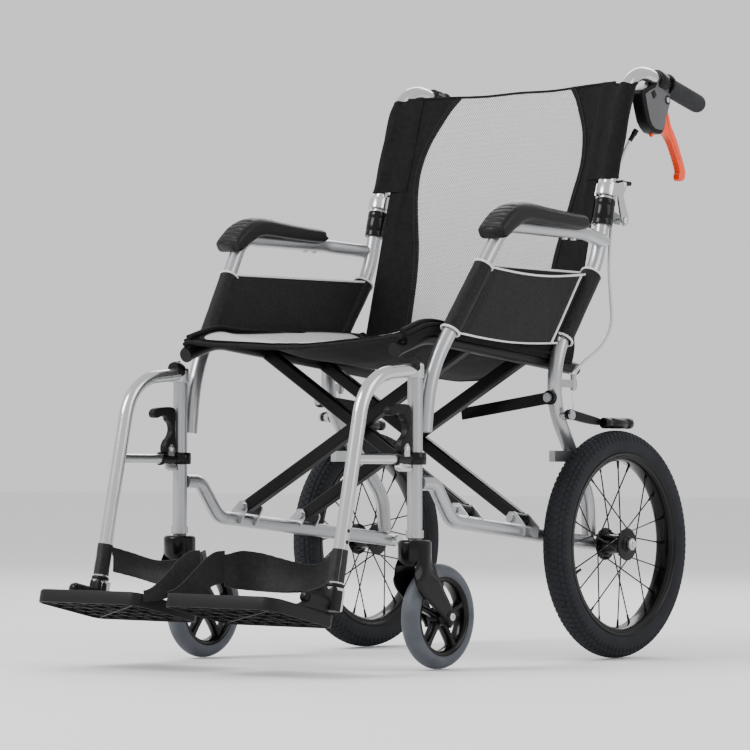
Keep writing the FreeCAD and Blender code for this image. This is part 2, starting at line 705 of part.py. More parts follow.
# ---------------------------------------------------------------- back canes and their brakes

cane_route = [at(dim("cane_x"), -0.9, 712.5), at(dim("cane_x"), 65, 923.5), at(222, 262, 879.5)]
cane_tube = rod(cane_route, [60], dim("tube_radius"))
cane_wall = rod(cane_route, [60], dim("tube_radius") + 0.05)
cane_axis = unit(cane_route[1] - cane_route[0])
cane_cap = straight(cane_route[0], cane_route[0] + cane_axis * 19, 14.5)
hinge_side_outline = [
    (-8, 714),
    (-2, 733),
    (24, 733),
    (24, 712),
    (37, 684),
    (37, 672),
    (26, 667),
    (19, 676),
    (9, 713),
]
hinge_sides = [plate(hinge_side_outline, dim("cane_x") + side * 15, 3) for side in (-1, 1)]
hinge_pin_end = at(dim("cane_x") + 18, HINGE_STATION, HINGE_HEIGHT)
hinge_pin = straight(at(dim("cane_x") - 18, HINGE_STATION, HINGE_HEIGHT), hinge_pin_end, HINGE_PIN)
CATCH_STATION = 28.0
CATCH_HEIGHT = 732.0
CATCH_PIN = 3.0


def catch_bar(reach, radius):
    """A bar across the cane on the catch's pivot, reaching the same distance both ways."""
    left = at(dim("cane_x") + reach, CATCH_STATION, CATCH_HEIGHT)
    return straight(at(dim("cane_x") - reach, CATCH_STATION, CATCH_HEIGHT), left, radius)


catch_pin = catch_bar(16, CATCH_PIN)
catch_lug_outline = [(14, 716), (14, 733), (24, 736), (31, 736), (32, 728), (24, 716)]
catch_lugs = [plate(catch_lug_outline, dim("cane_x") + side * 14.5, 4) for side in (-1, 1)]
above_hinge = Part.makeBox(120, 400, 400, at(170, -60, 712.6))
cane_upper = joined(cane_tube, cane_cap).common(above_hinge)
add_pair("back_cane", joined(cane_upper, *hinge_sides, hinge_pin, *catch_lugs, catch_pin))

catch_outline = [(22.5, 737), (33, 739), (52, 737), (53, 732), (36, 728), (24, 727)]
catch = plate(catch_outline, dim("cane_x"), 22)
add_pair("hinge_latch", catch.cut(catch_bar(20, CATCH_PIN + dim("running_gap"))))

grip_run = unit(cane_route[2] - cane_route[1])
grip_start = cane_route[1] + grip_run * 105
grip_end = cane_route[2] + grip_run * 4
grip = straight(grip_start, grip_end, dim("grip_radius"))
flange = straight(grip_start, grip_start + grip_run * 5, dim("grip_radius") + 3)
grip = joined(grip, flange)
add_pair("push_grip", grip.cut(straight(cane_route[1], cane_route[2], dim("tube_radius") + 0.05)))

LEVER_X = 222.0
LEVER_PIVOT = (158.0, 876.0)
LEVER_PIN = 3.95
body_outline = [
    (138, 921),
    (159, 914),
    (160, 879),
    (153, 829),
    (141, 820),
    (122, 822),
    (104, 838),
    (88, 883),
    (123, 898),
]
lever_body = softened(plate(body_outline, LEVER_X, 24), 3, lambda edge: edge.BoundBox.XLength > 20)
lever_slot = plate([(108, 874), (147, 888), (170, 890), (170, 800), (108, 800)], LEVER_X, 13)
lever_pin_end = at(LEVER_X + 12, *LEVER_PIVOT)
lever_pin = straight(at(LEVER_X - 12, *LEVER_PIVOT), lever_pin_end, LEVER_PIN)
add_pair("brake_lever_body", joined(lever_body.cut(lever_slot), lever_pin).cut(cane_wall))

lever_outline = [
    (148, 882),
    (160, 884),
    (169, 866),
    (172, 842),
    (187, 826),
    (207, 792),
    (219, 768),
    (213, 752),
    (201, 755),
    (203, 768),
    (189, 792),
    (170, 818),
    (155, 826),
    (137, 822),
]
brake_lever = softened(plate(lever_outline, LEVER_X, 12), 2, lambda edge: edge.BoundBox.XLength > 10)
lever_bore_start = at(LEVER_X - 8, *LEVER_PIVOT)
lever_bore = straight(lever_bore_start, at(LEVER_X + 8, *LEVER_PIVOT), LEVER_PIN + dim("running_gap"))
add_pair("brake_lever", brake_lever.cut(lever_bore))

SHOE_HEIGHT = 361.0
arm_outline = [
    (-125, 378),
    (-117, 381),
    (-109, 380),
    (-42, 369),
    (-32, 362),
    (-45, 355),
    (-109, 364),
    (-123, 366),
]
brake_plate = plate(arm_outline, 241.5, 6)
brake_shoe = straight(at(dim("wheel_x"), -35, SHOE_HEIGHT), at(dim("wheel_x"), 37, SHOE_HEIGHT), 8.5)
brake_bore = straight(
    at(230, BRAKE_STATION, BRAKE_HEIGHT),
    at(250, BRAKE_STATION, BRAKE_HEIGHT),
    dim("bolt_radius") + dim("running_gap"),
)
add_pair("brake_arm", joined(brake_plate, softened(brake_shoe, 1.5)).cut(brake_bore))

CABLE = 2.5
cable_route = [
    at(218, 87, 816),
    at(210, 71, 790),
    at(207, 57, 750),
    at(206, 49, 702),
    at(211, 33, 648),
    at(224, 12, 596),
    at(236, 1, 548),
    at(240, -1, 512),
    at(238, -25, 478),
    at(233, -66, 456),
    at(231, -91, 436.5),
]
cable_bends = []
for before, corner, after in zip(cable_route, cable_route[1:], cable_route[2:]):
    shorter_run = min((corner - before).Length, (after - corner).Length)
    half_turn = (corner - before).getAngle(after - corner) / 2
    cable_bends.append(0.45 * shorter_run / math.tan(half_turn))
print("cable bend radii", [round(radius) for radius in cable_bends])
cable = rod(cable_route, cable_bends, CABLE)
cable_length = bent_wire(cable_route, cable_bends).Length
print("cable length", round(cable_length), "volume ratio", cable.Volume / cable_length / math.pi / CABLE**2)
add_pair("brake_cable", cable)

# ---------------------------------------------------------------- pads, guards and slings

pad_outline = [
    (-124, 660.5),
    (-124, 670),
    (-128, 676),
    (-268, 685),
    (-296, 676),
    (-331, 650),
    (-336, 638),
    (-326, 630),
    (-296, 645),
    (-266, 660.5),
]
pad = plate(pad_outline, dim("pad_x"), dim("pad_width"))
pad = softened(pad, 4, lambda edge: edge.BoundBox.ZMin > 674 and edge.BoundBox.XLength < 5)
add_pair("armrest_pad", pad.cut(arm_wall))

guard_front = Part.makeLine(at(249, -342, 588), at(237, -404, 490))
guard_back = Part.makeLine(at(226, -41, 590), at(225, -118, 482))
guard = Part.makeRuledSurface(guard_front, guard_back).extrude(Vector(dim("fabric"), 0, 0))
guard.translate(Vector(-dim("fabric") / 2, 0, 0))
SLEEVE = 2.2
front_band = Part.makeBox(80, 130, 98, at(200, -440, 490))
back_band = Part.makeBox(60, 140, 104, at(200, -160, 484))
front_sleeve = rod(arm_route, arm_bends, dim("tube_radius") + 0.3 + SLEEVE).common(front_band)
back_sleeve = rod(back_post_route, back_post_bends, dim("tube_radius") + 0.3 + SLEEVE).common(back_band)
back_core = rod(back_post_route, back_post_bends, dim("tube_radius") + 0.3)
side_guard = joined(guard, front_sleeve, back_sleeve).cut(arm_wall).cut(back_core)
RAIL_REACH = 217.0
rail_room = Part.makeBox(60, 460, 200, at(RAIL_REACH - 60, -460, 440))
add_pair("side_guard", side_guard.cut(rail_room))

SEAT_SAG = 27.0
seat_half = dim("brace_rail_x") + 9
seat_lip = dim("rail_radius") + 0.4


def seat_surface(lift):
    """The sling's sagging line across the chair, as points round the rail's own centre line."""
    hang = dim("brace_rail_x") - dim("rail_radius")
    steps = [i / 8 for i in range(-8, 9)]
    middle = [Vector(hang * t, 0, seat_lip + lift - SEAT_SAG * (1 - t * t)) for t in steps]
    return [Vector(-seat_half, 0, seat_lip + lift)] + middle + [Vector(seat_half, 0, seat_lip + lift)]


seat_path_points = [at(0, -480, 463.2), at(0, -422, 481.8), at(0, -70, 446.6)]
seat_outline = seat_surface(0) + seat_surface(dim("fabric"))[::-1]
seat_section = Part.Wire(Part.makePolygon(seat_outline + seat_outline[:1]))
seat_heading = unit(seat_path_points[1] - seat_path_points[0])
seat_turn = Rotation(Vector(0, 1, 0), seat_heading)
seat_section.Placement = Placement(seat_path_points[0], seat_turn)
add_shape("seat_sling", bent_wire(seat_path_points, [110]).makePipeShell([seat_section], True, False))

BACK_BOW = 27.0
back_half = 208.0
back_path_points = [at(0, -63, 478), at(0, 1, 724), at(0, 53, 898)]


def back_surface(shift):
    """The back sling's bowed line across the chair, bulging behind the canes."""
    steps = [i / 8 for i in range(-8, 9)]
    return [Vector(back_half * t, shift + BACK_BOW * (1 - t * t), 0) for t in steps]


back_outline = back_surface(0) + back_surface(dim("fabric"))[::-1]
back_section = Part.Wire(Part.makePolygon(back_outline + back_outline[:1]))
back_heading = unit(back_path_points[1] - back_path_points[0])
back_section.Placement = Placement(back_path_points[0], Rotation(Vector(0, 0, 1), back_heading))
back_panel = bent_wire(back_path_points, [400]).makePipeShell([back_section], True, False)
sleeve_low = cane_route[0] + cane_axis * 32
sleeve_high = cane_route[0] + cane_axis * 162
cane_sleeve = straight(sleeve_low, sleeve_high, dim("tube_radius") + 0.4 + SLEEVE)
cane_sleeve = cane_sleeve.cut(straight(cane_route[0], cane_route[1], dim("tube_radius") + 0.4))
tab_outline = [(18, 760), (25, 760), (52, 866), (46, 868)]
sleeve_tab = plate(tab_outline, 211, 12)
sleeves = [joined(cane_sleeve, sleeve_tab).cut(cane_wall)]
sleeves.append(mirrored(sleeves[0]))
add_shape("back_sling", joined(back_panel, *sleeves))

# ---------------------------------------------------------------- save

doc.recompute()
problems = [o.Label for o in doc.Objects if "Invalid" in o.State or "Error" in o.State]
problems += [label for label, o in nodes.items() if o.Shape.isNull() or not o.Shape.isValid()]
if problems:
    raise RuntimeError(f"failed objects: {sorted(set(problems))}")
for label, feature in nodes.items():
    feature.Shape.exportStep(f"parts/{label}.step")
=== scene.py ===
"""Transit wheelchair: looks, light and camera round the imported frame, in the CAD's metres."""
import json
import math
import bmesh
import bpy
from mathutils import Matrix, Vector, noise


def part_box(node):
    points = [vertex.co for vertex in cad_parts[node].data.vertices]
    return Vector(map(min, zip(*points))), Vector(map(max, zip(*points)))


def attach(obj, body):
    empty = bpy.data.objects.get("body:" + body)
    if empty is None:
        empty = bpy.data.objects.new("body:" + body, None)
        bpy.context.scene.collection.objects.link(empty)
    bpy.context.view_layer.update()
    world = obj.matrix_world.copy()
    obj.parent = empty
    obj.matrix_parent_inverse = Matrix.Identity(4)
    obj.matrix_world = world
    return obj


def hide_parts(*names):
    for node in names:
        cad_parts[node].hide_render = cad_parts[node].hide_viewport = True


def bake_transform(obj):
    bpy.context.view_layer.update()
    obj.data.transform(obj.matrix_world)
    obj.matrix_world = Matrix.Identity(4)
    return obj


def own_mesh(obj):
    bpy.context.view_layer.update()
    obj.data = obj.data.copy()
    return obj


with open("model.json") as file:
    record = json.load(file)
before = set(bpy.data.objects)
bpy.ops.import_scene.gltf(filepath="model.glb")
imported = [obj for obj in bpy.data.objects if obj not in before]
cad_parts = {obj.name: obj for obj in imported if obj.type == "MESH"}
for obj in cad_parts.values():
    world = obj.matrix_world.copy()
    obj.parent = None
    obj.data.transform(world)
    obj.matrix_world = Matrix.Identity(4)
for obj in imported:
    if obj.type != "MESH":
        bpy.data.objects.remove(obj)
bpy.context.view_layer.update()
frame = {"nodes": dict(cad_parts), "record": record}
scene = bpy.context.scene

MM = 0.001
SIDES = {"left": 1, "right": -1}
tyre_low, tyre_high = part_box("rear_tyre_left")
AXLE = (tyre_low + tyre_high) / 2


def at(across, station, height):
    """A point in metres from millimetres: across, behind the rear axle, above the floor."""
    return Vector((across * MM, AXLE.y + station * MM, height * MM))


# ---------------------------------------------------------------- materials

class Paint:
    """A Principled material and short names for wiring procedural nodes into it."""

    def __init__(self, name, colour, rough, **sockets):
        self.material = bpy.data.materials.new(name)
        self.material.use_nodes = True
        self.nodes = self.material.node_tree.nodes
        self.links = self.material.node_tree.links
        self.shader = self.nodes["Principled BSDF"]
        self.colour = (*colour, 1)
        self.shader.inputs["Base Color"].default_value = self.colour
        self.shader.inputs["Roughness"].default_value = rough
        for socket, value in sockets.items():
            self.shader.inputs[socket.replace("_", " ")].default_value = value
        self.normal = None
        self.material.diffuse_color = self.colour

    def add(self, kind, **inputs):
        node = self.nodes.new(kind)
        for key, value in inputs.items():
            node.inputs[key.replace("_", " ")].default_value = value
        return node

    def place(self, turn=(0, 0, 0)):
        """Object coordinates, turned."""
        source = self.nodes.new("ShaderNodeTexCoord")
        mapping = self.add("ShaderNodeMapping", Rotation=turn)
        self.links.new(source.outputs["Object"], mapping.inputs["Vector"])
        return mapping.outputs["Vector"]

    def grain(self, scale, detail=3.0):
        texture = self.add("ShaderNodeTexNoise", Scale=scale, Detail=detail)
        self.links.new(self.place(), texture.inputs["Vector"])
        return texture.outputs["Fac"]

    def stripes(self, scale, turn=(0, 0, 0), direction="X"):
        texture = self.add("ShaderNodeTexWave", Scale=scale, Distortion=0.0)
        texture.bands_direction = direction
        self.links.new(self.place(turn=turn), texture.inputs["Vector"])
        return texture.outputs["Fac"]

    def maths(self, operation, first, second):
        node = self.nodes.new("ShaderNodeMath")
        node.operation = operation
        for slot, value in zip(node.inputs, (first, second)):
            if isinstance(value, (int, float)):
                slot.default_value = value
            else:
                self.links.new(value, slot)
        return node.outputs[0]

    def bump(self, height, strength, distance):
        node = self.add("ShaderNodeBump", Strength=strength, Distance=distance)
        self.links.new(height, node.inputs["Height"])
        if self.normal is not None:
            self.links.new(self.normal, node.inputs["Normal"])
        self.normal = node.outputs["Normal"]
        self.links.new(self.normal, self.shader.inputs["Normal"])
        return self

    def tint(self, factor, low, high, start=0.3, end=0.7):
        """Base colour that runs from low to high with the factor."""
        ramp = self.nodes.new("ShaderNodeValToRGB")
        ramp.color_ramp.elements[0].position = start
        ramp.color_ramp.elements[1].position = end
        ramp.color_ramp.elements[0].color = (*low, 1)
        ramp.color_ramp.elements[1].color = (*high, 1)
        self.links.new(factor, ramp.inputs["Fac"])
        self.links.new(ramp.outputs["Color"], self.shader.inputs["Base Color"])
        return self

    def wear(self, scale, low, high):
        """Roughness that wanders between low and high."""
        spread = self.add("ShaderNodeMapRange", To_Min=low, To_Max=high)
        self.links.new(self.grain(scale, 5.0), spread.inputs["Value"])
        self.links.new(spread.outputs["Result"], self.shader.inputs["Roughness"])
        return self


def weave(paint, pitch, strength, distance):
    """A plain weave: crossing threads at the given pitch, in metres."""
    threads = paint.stripes(0.5 / pitch)
    for direction in "ZY":
        crossing = paint.stripes(0.5 / pitch, direction=direction)
        threads = paint.maths("MAXIMUM", threads, crossing)
    return paint.bump(threads, strength, distance)


def silver_paint():
    paint = Paint(
        "silver_paint", (0.4, 0.405, 0.418), 0.3, Metallic=0.85, Coat_Weight=0.35,
        Coat_Roughness=0.12
    )
    paint.wear(40, 0.26, 0.36)
    return paint.bump(paint.grain(2600, 2), 0.08, 0.0002).material


def bright_silver():
    paint = Paint(
        "bright_silver", (0.55, 0.555, 0.565), 0.2, Metallic=0.9, Coat_Weight=0.3,
        Coat_Roughness=0.06
    )
    paint.wear(30, 0.16, 0.24)
    return paint.bump(paint.grain(2200, 2), 0.05, 0.0002).material


def zinc():
    paint = Paint("zinc", (0.62, 0.62, 0.62), 0.28, Metallic=1.0)
    paint.wear(300, 0.22, 0.4)
    return paint.material


def black_metal(name="black_metal", rough=0.34):
    paint = Paint(
        name, (0.004, 0.004, 0.0044), rough, Coat_Weight=0.05, Coat_Roughness=0.2,
        Specular_IOR_Level=0.16
    )
    paint.wear(60, rough - 0.05, rough + 0.08)
    return paint.bump(paint.grain(1500, 2), 0.12, 0.0003).material


def gloss_black(name):
    paint = Paint(
        name, (0.003, 0.003, 0.00315), 0.2, Coat_Weight=0.06, Coat_Roughness=0.08,
        Specular_IOR_Level=0.18
    )
    paint.wear(50, 0.16, 0.26)
    return paint.material


def grained_plastic(name, colour, rough):
    paint = Paint(name, colour, rough, Specular_IOR_Level=0.16)
    paint.wear(90, rough - 0.06, rough + 0.06)
    return paint.bump(paint.grain(1400, 3), 0.25, 0.0004).material


def rubber(name, colour, rough):
    paint = Paint(name, colour, rough, Specular_IOR_Level=0.2)
    dusty = tuple(min(1, channel * 1.5) for channel in colour)
    paint.tint(paint.grain(30, 6), colour, dusty)
    return paint.bump(paint.grain(900, 4), 0.2, 0.0005).material


def sling_cloth(name="sling_cloth", colour=(0.006, 0.006, 0.0065), pitch=0.0011):
    paint = Paint(name, colour, 0.8, Sheen_Weight=0.03, Sheen_Roughness=0.4, Specular_IOR_Level=0.1)
    lighter = tuple(channel * 1.7 for channel in colour)
    paint.tint(paint.grain(120, 5), colour, lighter)
    paint.bump(paint.grain(35, 3), 0.25, 0.002)
    return weave(paint, pitch, 0.35, 0.0004).material


def spacer_mesh(name, turn):
    """Light grey knitted mesh: small dark holes on two diagonals of the plane it is turned in."""
    paint = Paint(name, (0.6, 0.6, 0.61), 0.85, Sheen_Weight=0.1, Specular_IOR_Level=0.2)
    first = paint.stripes(110, tuple(0.9 * angle for angle in turn), "X")
    second = paint.stripes(110, tuple(-1.1 * angle for angle in turn), "X")
    threads = paint.maths("MAXIMUM", first, second)
    paint.tint(threads, (0.1, 0.1, 0.105), (0.72, 0.72, 0.73), 0.35, 0.75)
    return paint.bump(threads, 0.8, 0.0012).material


def guard_vinyl():
    paint = Paint(
        "guard_vinyl", (0.0065, 0.0065, 0.007), 0.62, Sheen_Weight=0.03, Specular_IOR_Level=0.16
    )
    paint.tint(paint.grain(260, 6), (0.005, 0.005, 0.0055), (0.014, 0.014, 0.015))
    paint.bump(paint.grain(22, 2), 0.35, 0.004)
    return paint.bump(paint.grain(1100, 4), 0.35, 0.0006).material


def light_piping():
    paint = Paint("light_piping", (0.68, 0.68, 0.69), 0.6, Sheen_Weight=0.2)
    return paint.bump(paint.grain(1800, 2), 0.3, 0.0004).material


def orange_plastic():
    paint = Paint(
        "orange_plastic", (0.9, 0.06, 0.008), 0.3, Coat_Weight=0.25, Coat_Roughness=0.1,
        Specular_IOR_Level=0.35
    )
    paint.wear(60, 0.22, 0.34)
    return paint.bump(paint.grain(900, 2), 0.05, 0.0003).material


def housing_grey():
    paint = Paint("housing_grey", (0.1, 0.1, 0.105), 0.45, Metallic=0.3)
    paint.wear(100, 0.36, 0.5)
    return paint.bump(paint.grain(2000, 3), 0.25, 0.0003).material


def cable_grey():
    paint = Paint("cable_grey", (0.5, 0.5, 0.51), 0.35, Coat_Weight=0.2)
    return paint.bump(paint.grain(500, 2), 0.1, 0.0003).material


def strap_cloth():
    paint = Paint(
        "strap_cloth", (0.009, 0.009, 0.0095), 0.5, Sheen_Weight=0.03, Specular_IOR_Level=0.22
    )
    paint.tint(paint.grain(180, 5), (0.007, 0.007, 0.0075), (0.016, 0.016, 0.017))
    ribs = paint.stripes(260, (0, 0, 0), "Z")
    return paint.bump(ribs, 0.4, 0.0005).material


def skinned_foam():
    paint = Paint("skinned_foam", (0.0045, 0.0045, 0.005), 0.42, Specular_IOR_Level=0.25)
    paint.wear(70, 0.3, 0.5)
    return paint.bump(paint.grain(700, 5), 0.3, 0.0006).material


LOOKS = {
    "frame_paint": silver_paint(),
    "hanger_silver": bright_silver(),
    "cane_paint": bright_silver(),
    "brace_black": black_metal("brace_black", 0.36),
    "stay_steel": black_metal("stay_black", 0.3),
    "axle_steel": zinc(),
    "bolt_black": black_metal("bolt_black", 0.28),
    "brake_steel": black_metal("brake_black", 0.3),
    "spoke_black": gloss_black("spoke_black"),
    "rim_black": gloss_black("rim_black"),
    "hub_black": gloss_black("hub_black"),
    "fork_black": gloss_black("fork_black"),
    "tyre_rubber": rubber("tyre_rubber", (0.011, 0.012, 0.0145), 0.75),
    "caster_rubber": rubber("caster_rubber", (0.062, 0.067, 0.079), 0.5),
    "black_plastic": grained_plastic("black_plastic", (0.0045, 0.0045, 0.005), 0.4),
    "brake_housing": housing_grey(),
    "brake_lever_orange": orange_plastic(),
    "grip_rubber": rubber("grip_rubber", (0.022, 0.0225, 0.025), 0.85),
    "armrest_foam": skinned_foam(),
    "guard_fabric": guard_vinyl(),
    "sling_fabric": sling_cloth(),
    "strap_webbing": strap_cloth(),
    "footplate_plastic": grained_plastic("footplate_plastic", (0.008, 0.008, 0.009), 0.45),
    "cable_sheath": cable_grey(),
}
BACK_MESH_LOOK = spacer_mesh("back_mesh", (0, math.radians(45), 0))
SEAT_MESH_LOOK = spacer_mesh("seat_mesh", (0, 0, math.radians(45)))
PIPING_LOOK = light_piping()
BINDING_LOOK = sling_cloth("binding_cloth", (0.007, 0.007, 0.0074), 0.0016)
THREAD_LOOK = Paint("thread", (0.035, 0.035, 0.037), 0.7, Specular_IOR_Level=0.2).material

slot_of = {part["node"]: part["material_slot"] for part in frame["record"]["subparts"]}
for node_name, node_object in frame["nodes"].items():
    node_object.data.materials.clear()
    node_object.data.materials.append(LOOKS[slot_of[node_name]])
    node_object.data.set_sharp_from_angle(angle=math.radians(32))

# ---------------------------------------------------------------- mesh helpers

def put(name, shape, look, body, replaces=(), sharp=38):
    """Make an object from (points, faces), give it its look and let it ride on a body.

    The look is a slot's name, whose material it gets, or a material.
    """
    points, faces = shape
    mesh = bpy.data.meshes.new(name)
    mesh.from_pydata([tuple(point) for point in points], [], faces)
    mesh.validate()
    work = bmesh.new()
    work.from_mesh(mesh)
    bmesh.ops.recalc_face_normals(work, faces=work.faces)
    work.to_mesh(mesh)
    work.free()
    mesh.polygons.foreach_set("use_smooth", [True] * len(mesh.polygons))
    mesh.set_sharp_from_angle(angle=math.radians(sharp))
    mesh.materials.append(LOOKS[look] if look in LOOKS else look)
    piece = bpy.data.objects.new(name, mesh)
    scene.collection.objects.link(piece)
    if body:
        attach(piece, body)
    if replaces:
        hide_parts(*replaces)
    return piece


def flipped(shape):
    """The mirror image across the middle plane."""
    points, faces = shape
    return [Vector((-p.x, p.y, p.z)) for p in points], [tuple(reversed(face)) for face in faces]


def pair(name, shape, look, body, replaces=(), sharp=38):
    """The same piece on both sides; body and replaced names get the side added."""
    made = {}
    for side, sign in SIDES.items():
        sided = shape if sign > 0 else flipped(shape)
        stands_for = [f"{node}_{side}" for node in replaces]
        made[side] = put(f"{name}_{side}", sided, look, f"{body}_{side}", stands_for, sharp)
    return made


def merged(*shapes):
    """Several shapes as one."""
    points, faces = [], []
    for more_points, more_faces in shapes:
        shift = len(points)
        points += list(more_points)
        faces += [tuple(i + shift for i in face) for face in more_faces]
    return points, faces


def grid(rows, closed_u=False, closed_v=False):
    """Faces over rows of points."""
    height, width = len(rows), len(rows[0])
    points = [point for row in rows for point in row]
    faces = []
    for i in range(height if closed_v else height - 1):
        for j in range(width if closed_u else width - 1):
            a, b = i * width + j, i * width + (j + 1) % width
            below = ((i + 1) % height) * width
            faces.append((a, b, below + (j + 1) % width, below + j))
    return points, faces


def capped(rows):
    """A closed skin over rings of points, with its two ends filled."""
    points, faces = grid(rows, closed_u=True)
    width = len(rows[0])
    last = len(points) - width
    faces.append(tuple(range(width - 1, -1, -1)))
    faces.append(tuple(range(last, last + width)))
    return points, faces


def curve_through(knots, count):
    """Points along a smooth curve through the knots."""
    line = [knots[0] * 2 - knots[1]] + list(knots) + [knots[-1] * 2 - knots[-2]]
    spans = len(knots) - 1
    result = []
    for i in range(count):
        place = i / (count - 1) * spans
        span = min(int(place), spans - 1)
        t = place - span
        p0, p1, p2, p3 = line[span:span + 4]
        point = 2 * p1 + (p2 - p0) * t + (2 * p0 - 5 * p1 + 4 * p2 - p3) * t * t
        result.append((point + (3 * p1 - p0 - 3 * p2 + p3) * t ** 3) * 0.5)
    return result


def frames_along(path, up=None):
    """For each point of a path its side and up directions, carried along without twist."""
    result = []
    for i, point in enumerate(path):
        heading = (path[min(i + 1, len(path) - 1)] - path[max(i - 1, 0)]).normalized()
        if up is not None:
            reference = up
        elif result:
            reference = result[-1][1]
        else:
            reference = Vector((0, 0, 1)) if abs(heading.z) < 0.9 else Vector((0, 1, 0))
        side = heading.cross(reference).normalized()
        result.append((side, side.cross(heading).normalized()))
    return result


def circle_section(radius, count=16, flat=1.0):
    """A circle, or a flattened one, as points (across, up)."""
    return [
        (
            radius * math.cos(2 * math.pi * k / count),
            flat * radius * math.sin(2 * math.pi * k / count)
        )
        for k in range(count)
    ]


def rounded_section(width, height, power=4.0, count=24):
    """A rounded rectangle as points (across, up)."""
    points = []
    for k in range(count):
        angle = 2 * math.pi * (k + 0.5) / count
        c, s = math.cos(angle), math.sin(angle)
        reach = (abs(c) ** power + abs(s) ** power) ** (-1 / power)
        points.append((width / 2 * reach * c, height / 2 * reach * s))
    return points


def sweep(path, section, up=None, scale=None):
    """A closed bar along a path; scale gives a factor for each step."""
    rows = []
    for i, (point, (side, upward)) in enumerate(zip(path, frames_along(path, up))):
        factor = scale(i / (len(path) - 1)) if scale else 1.0
        rows.append([point + side * (a * factor) + upward * (b * factor) for a, b in section])
    return capped(rows)


def lathe(profile, centre, axis, count=48):
    """A turned ring: profile is a closed list of (along, radius)."""
    axis = Vector(axis).normalized()
    side = axis.orthogonal().normalized()
    other = axis.cross(side)
    rows = []
    for k in range(count):
        angle = 2 * math.pi * k / count
        outward = side * math.cos(angle) + other * math.sin(angle)
        rows.append([centre + axis * along + outward * radius for along, radius in profile])
    return grid(rows, closed_u=True, closed_v=True)


def turned(profile, centre, axis, count=32):
    """A turned solid: profile runs from axis to axis as (along, radius)."""
    axis = Vector(axis).normalized()
    side = axis.orthogonal().normalized()
    other = axis.cross(side)
    rows = []
    for along, radius in profile:
        ring = []
        for k in range(count):
            angle = 2 * math.pi * k / count
            ring.append(
                centre + axis * along + (side * math.cos(angle) + other * math.sin(angle)) * radius
            )
        rows.append(ring)
    return capped(rows)


def bevelled(shape, width, segments):
    """The shape with its sharp edges rounded."""
    work = bmesh.new()
    verts = [work.verts.new(point) for point in shape[0]]
    for face in shape[1]:
        work.faces.new([verts[i] for i in face])
    bmesh.ops.recalc_face_normals(work, faces=work.faces)
    limit = math.radians(30)
    edges = [e for e in work.edges if len(e.link_faces) == 2 and e.calc_face_angle() > limit]
    bmesh.ops.bevel(
        work, geom=edges, offset=width, segments=segments, profile=0.6, affect="EDGES",
        clamp_overlap=True
    )
    work.verts.index_update()
    points = [v.co.copy() for v in work.verts]
    faces = [tuple(v.index for v in face.verts) for face in work.faces]
    work.free()
    return points, faces


def slab(outline, across, thickness, bevel=0.0, segments=2):
    """A flat plate in a fore-and-aft plane, from (station, height) points in millimetres."""
    low = [at(across - thickness / 2, s, h) for s, h in outline]
    high = [at(across + thickness / 2, s, h) for s, h in outline]
    shape = capped([low, high])
    return bevelled(shape, bevel * MM, segments) if bevel else shape


def smooth_outline(knots, count):
    """A closed smooth outline through (station, height) knots."""
    ring = [Vector((s, h, 0)) for s, h in knots]
    ring = ring[-2:] + ring + ring[:3]
    dense = curve_through(ring, count * 2)
    first, last = count * 2 * 2 // (len(ring) - 1), count * 2 * (len(knots) + 2) // (len(ring) - 1)
    return [(p.x, p.y) for p in dense[first:last]]


def bolt(centre, axis, radius, height):
    """A cap screw's head: a low cylinder with a soft rim and a socket."""
    profile = [(0, 0.0001), (0, radius), (height * 0.75, radius), (height, radius * 0.86)]
    profile += [(height, radius * 0.5), (height * 0.45, radius * 0.46), (height * 0.45, 0.0001)]
    return turned(profile, centre, axis, 24)


def dome(centre, axis, radius, height):
    """A rivet's round head."""
    steps = [math.radians(d) for d in (0, 25, 50, 70, 89)]
    profile = [(0, 0.0001)] + [(height * math.sin(s), radius * math.cos(s)) for s in steps]
    return turned(profile, centre, axis, 24)


# ---------------------------------------------------------------- back sling

CANE_X = 227.0
HINGE = (28.0, 676.0)


def ramp(value, low, high):
    """0 below low, 1 above high, smooth between."""
    t = min(1.0, max(0.0, (value - low) / (high - low)))
    return t * t * (3 - 2 * t)


def through(table, value):
    """A smooth value read from (place, value) pairs in rising order."""
    if value <= table[0][0]:
        return table[0][1]
    if value >= table[-1][0]:
        return table[-1][1]
    span = next(i for i in range(len(table) - 1) if value <= table[i + 1][0])
    slopes = []
    for i in (span, span + 1):
        before, after = table[max(i - 1, 0)], table[min(i + 1, len(table) - 1)]
        slopes.append((after[1] - before[1]) / (after[0] - before[0]))
    (a, low), (b, high) = table[span], table[span + 1]
    t = (value - a) / (b - a)
    run = b - a
    curve = (2 * t ** 3 - 3 * t ** 2 + 1) * low + (3 * t ** 2 - 2 * t ** 3) * high
    return curve + (t ** 3 - 2 * t ** 2 + t) * run * slopes[0] + (t ** 3 - t ** 2) * run * slopes[1]


def back_line(height):
    """How far behind the axle the sling's edge is at a height."""
    slope = 0.26 if height < 724 else 0.299
    return 1 + (height - 724) * slope


def cane_line(height):
    """How far behind the axle the cane's centre is at a height."""
    return -0.9 + (height - 712.5) * 0.3123


BACK_HALF = 207.0
EDGE_COLUMNS, MESH_COLUMNS = 26, 40
MESH_HALF = [
    (470, 134), (560, 135), (640, 142), (710, 157), (770, 164), (820, 156), (855, 137), (890, 108)
]


